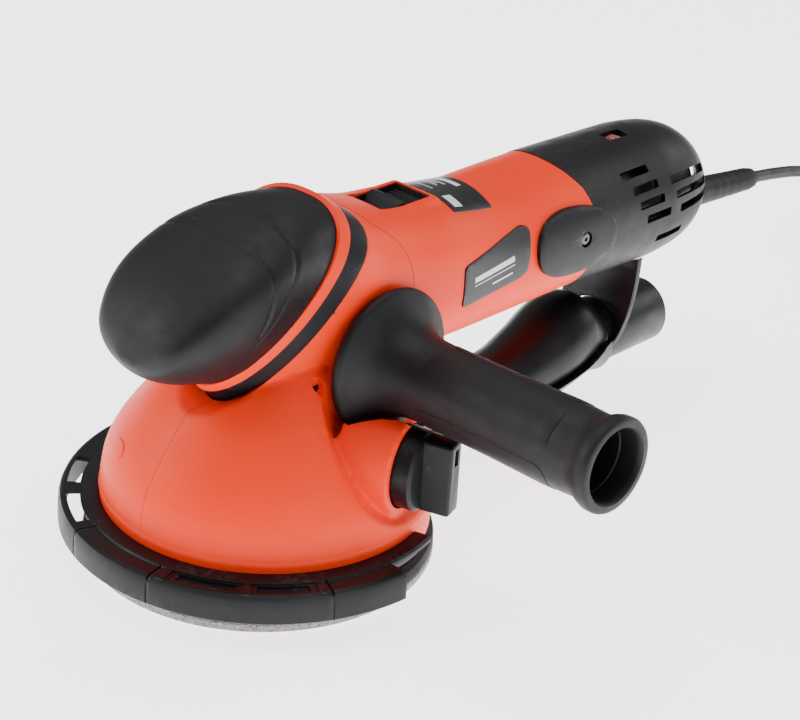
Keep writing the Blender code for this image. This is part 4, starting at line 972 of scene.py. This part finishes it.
# side views of the bracket's cradle and of its hanging plate's rear face, as (y, z)
CRADLE = [(0.1600, 0.0020), (0.2098, 0.0020), (0.2098, 0.0350), (0.2024, 0.0345), (0.1910, 0.0262),
          (0.1712, 0.0222), (0.1600, 0.0215)]
PLATE = [(0.2252, 0.0770), (0.2246, 0.0672), (0.2238, 0.0590), (0.2212, 0.0480), (0.2160, 0.0373),
         (0.2068, 0.0296)]


def duct_rings(inset, overrun=0.0):
    """Round rings along the duct's route, set in by an inset, with both ends pushed out."""
    rings = []
    for place, (y, z, radius) in enumerate(DUCT):
        y += -overrun if place == 0 else overrun if place == len(DUCT) - 1 else 0
        r = radius - inset
        rings.append([Vector((r * cos(a), y, z + r * sin(a))) for a in angles(72)])
    return dense(rings, 5)


def dust_duct():
    duct = loft("dust_duct_pipe", duct_rings(0), "duct")
    join(duct, "DIFFERENCE", loft("hollow", duct_rings(0.0022, 0.002)))
    ride(rounded(duct, 0.0004, 2, 50), "body", "black_shell", "dust_duct")
    bore, r = 0.0138, NOZZLE_RADIUS
    profile = [(bore, 0.2104), (r, 0.2104), (r, 0.2180), (r, NOZZLE_END - 0.0012),
               (r - 0.0004, NOZZLE_END - 0.0003), (r - 0.0010, NOZZLE_END), (bore + 0.0005, NOZZLE_END),
               (bore, NOZZLE_END - 0.0006)]
    nozzle = lathe("dust_nozzle_pipe", profile, "duct", "Y", (0, 0, NOZZLE_Z), 96)
    ride(nozzle, "body", "black_shell", "dust_nozzle")


def duct_bracket():
    """Cradle under the duct's fat part, with the plate that hangs it from the rear cap."""
    cradle = loft("bracket_cradle", duct_rings(-0.0034), "duct")
    join(cradle, "INTERSECT", side_cut("extent", CRADLE, 0.03))
    line = curved(PLATE)
    inner = [(y - 0.0030, z + 0.0008) for y, z in line]
    join(cradle, "UNION", side_cut("plate", line + inner[::-1], 0.0200))
    start, drop = Vector((0, CAP_START, BARREL_Z)), Vector((0, 1, -tan(CAP_DROP)))
    join(cradle, "DIFFERENCE", loft("duct_air", duct_rings(-0.0004, 0.002)),
         rod("cap_air", BARREL_RADIUS + GAP, start + drop * 0.035, start + drop * 0.075, sides=160),
         rod("hole", NOZZLE_RADIUS + 0.0007, (0, 0.2080, NOZZLE_Z), (0, 0.250, NOZZLE_Z), sides=72))
    ride(rounded(painted(cradle, "duct"), 0.0004, 2, 50), "body", "black_shell", "duct_bracket")


# ---------------------------------------------------------------- pad
def sanding_pad():
    x, y = PAD.x, PAD.y
    face = lathe("pad_hook_face", [(0, 0), (0.0738, 0), (0.0747, 0.0006), (0.0751, 0.0016), (0.0751, 0.0040),
                                   (0.0746, 0.0046), (0.0738, 0.0042), (0.0734, 0.0014), (0, 0.0014)],
                 "hooks", at=(x, y, 0), steps=144)
    foam = lathe("pad_foam_disc", [(0, 0.0017), (0.0728, 0.0017), (0.0734, 0.0048), (0.0748, 0.0052),
                                   (0.0750, 0.0074), (0.0744, 0.0095), (0.0720, 0.0110), (0, 0.0110)],
                 "foam", at=(x, y, 0), steps=144)
    for a in angles(8, 0.5):
        hx, hy = x + 0.045 * cos(a), y + 0.045 * sin(a)
        for piece in (face, foam):
            join(piece, "DIFFERENCE", rod("hole", 0.0050, (hx, hy, -0.005), (hx, hy, 0.0108), sides=32))
    ride(painted(face, "hooks"), "pad", "hook_fabric", "hook_face")
    ride(painted(foam, "foam"), "pad", "pad_foam", "pad_foam")


# ---------------------------------------------------------------- cord and plug
CORD_ROUTE = [(0, 0.3384, 0.0792), (0, 0.3510, 0.0775), (0, 0.3650, 0.0752), (0, 0.3840, 0.0712),
              (-0.002, 0.4020, 0.0635), (-0.008, 0.4180, 0.0510), (-0.017, 0.4330, 0.0355),
              (-0.026, 0.4460, 0.0215), (-0.034, 0.4575, 0.0105), (-0.0387, 0.4675, 0.0050),
              (-0.0404, 0.4765, 0.0033)]
TAIL_ROUTE = [(0.0404, 0.4765, 0.0145), (0.0408, 0.4680, 0.0133), (0.0418, 0.4600, 0.0122),
              (0.0425, 0.4530, 0.0114), (0.0425, 0.4472, 0.0110)]
# lanes of the coil, as (turn at which it is reached, steps out from the mean radius, layer)
LANES = [(0.0, 1, 0), (1.0, 0, 0), (2.0, -1, 0), (2.94, -1, 1), (3.94, -1, 2), (4.88, 0, 2),
         (5.82, 0, 1), (6.76, 1, 1), (7.70, 1, 2), (8.5, 1, 2)]


def coil_path():
    """Turns wound clockwise in lanes that no other turn uses, changing lane late in each turn."""
    step = 2 * CORD_RADIUS
    per_turn = 24
    path = []
    for k in range(int(LANES[-1][0] * per_turn) + 1):
        t = k / per_turn
        place = max(i for i, lane in enumerate(LANES[:-1]) if lane[0] <= t)
        (_, out_a, layer_a), (reached, out_b, layer_b) = LANES[place], LANES[place + 1]
        ease = min(1.0, max(0.0, (t - reached + 0.2) / 0.2))
        ease = ease * ease * (3 - 2 * ease)
        radius = COIL_MEAN + step * (out_a * (1 - ease) + out_b * ease)
        angle = pi - 2 * pi * t
        path.append(Vector((COIL.x + radius * cos(angle), COIL.y + radius * sin(angle),
                            0.0033 + step * (layer_a * (1 - ease) + layer_b * ease))))
    return path


def cord():
    route, tail = smooth_path(CORD_ROUTE, 2), smooth_path(TAIL_ROUTE, 2)
    path = route + coil_path() + tail
    curve = bpy.data.curves.new("mains_lead", "CURVE")
    curve.dimensions = "3D"
    curve.bevel_depth = CORD_RADIUS - 0.00005
    curve.bevel_resolution = 4
    curve.use_fill_caps = True
    spline = curve.splines.new("POLY")
    spline.points.add(len(path) - 1)
    for point, place in zip(spline.points, path):
        point.co = (*place, 1)
    lead = placed("mains_lead", curve)
    curve.materials.append(MAT["cable"])
    ride(lead, "body", "cable", "cord", "cord_coil", "cord_tail")
    pieces = [strain_relief(), *plug()]


def strain_relief():
    """Tapered rubber boot with faint ribs round it."""
    profile = [(0, 0), (0.0068, 0), (0.0068, 0.0060), (0.0086, 0.0064), (0.0088, 0.0072), (0.0086, 0.0086),
               (0.0071, 0.0100)]
    ribs = 6
    for k in range(ribs):
        x = 0.0140 + k * 0.0072
        r = 0.0071 - 0.0014 * k / ribs
        profile += [(r, x), (r - 0.0001, x + 0.0060), (r - 0.0003, x + 0.0063), (r - 0.0003, x + 0.0069)]
    profile += [(0.0054, 0.0585), (0.0051, 0.0603), (0.0044, 0.0606), (0, 0.0606)]
    relief = lathe("cord_strain_relief", profile, "rubber", steps=64)
    turn = RELIEF_OUT.to_track_quat("Z", "Y").to_matrix().to_4x4()
    relief.data.transform(Matrix.Translation(RELIEF_BASE) @ turn)
    return ride(relief, "body", "grip_rubber", "strain_relief")


def plug():
    """Moulded two-pin plug: ribbed sleeve, finger waist and round pins."""
    x, z = TAIL_ROUTE[-1][0], TAIL_ROUTE[-1][2]
    stations = [(0.4468, 0.0050, 0.0050), (0.4400, 0.0058, 0.0058), (0.4365, 0.0068, 0.0066),
                (0.4335, 0.0135, 0.0092), (0.4290, 0.0158, 0.0101), (0.4210, 0.0168, 0.0104),
                (0.4120, 0.0170, 0.0105), (0.4030, 0.0174, 0.0107), (0.4000, 0.0172, 0.0105),
                (0.3992, 0.0162, 0.0096)]
    power = 2 / 0.7
    rings = [[Vector((x + wide * bulge(cos(a), power), y, z + tall * bulge(sin(a), power)))
              for a in angles(64, 0.5)] for y, wide, tall in stations]
    body = loft("plug_moulding", dense(rings, 3), "rubber")
    for k in range(4):
        grooved(body, Vector((0, 0.4170 + 0.0040 * k, 0)), Vector((0, 1, 0)), 0.0009, 0.0004,
                lambda p: abs(p.x - x) < 0.010)
    ride(body, "body", "grip_rubber", "plug_body")
    pieces = [body]
    for number, sign in ((1, 1), (2, -1)):
        profile = [(0, -0.0187), (0.0014, -0.0186), (0.0024, -0.0172), (0.0024, 0), (0, 0)]
        pin = lathe(f"plug_prong_{number}", profile, "steel", "Y", (x + sign * 0.0095, 0.3987, z), 32)
        pieces.append(ride(pin, "body", "steel", f"plug_pin_{number}"))
    return pieces


# ---------------------------------------------------------------- carried-over pieces
def carried_over():
    """Finishes for the CAD nodes that stay, such as the motor and gears."""
    finish_of = {"cast_alloy": "alloy", "black_shell": "black", "grip_rubber": "rubber",
                 "orange_shell": "orange", "pad_foam": "foam", "hook_fabric": "hooks"}
    slots = {part["node"]: part["material_slot"] for part in frame["record"]["subparts"]}
    for node, obj in frame["nodes"].items():
        for place in obj.material_slots:
            place.material = MAT[finish_of.get(slots[node], slots[node])]


carried_over()
cord()
casing()
side_trim()
rear_cap()
palm_grip()
rim_rings()
side_handle()
mode_knob()
pad_guard()
power_switch()
top_label()
speed_dial()
dust_duct()
duct_bracket()
sanding_pad()
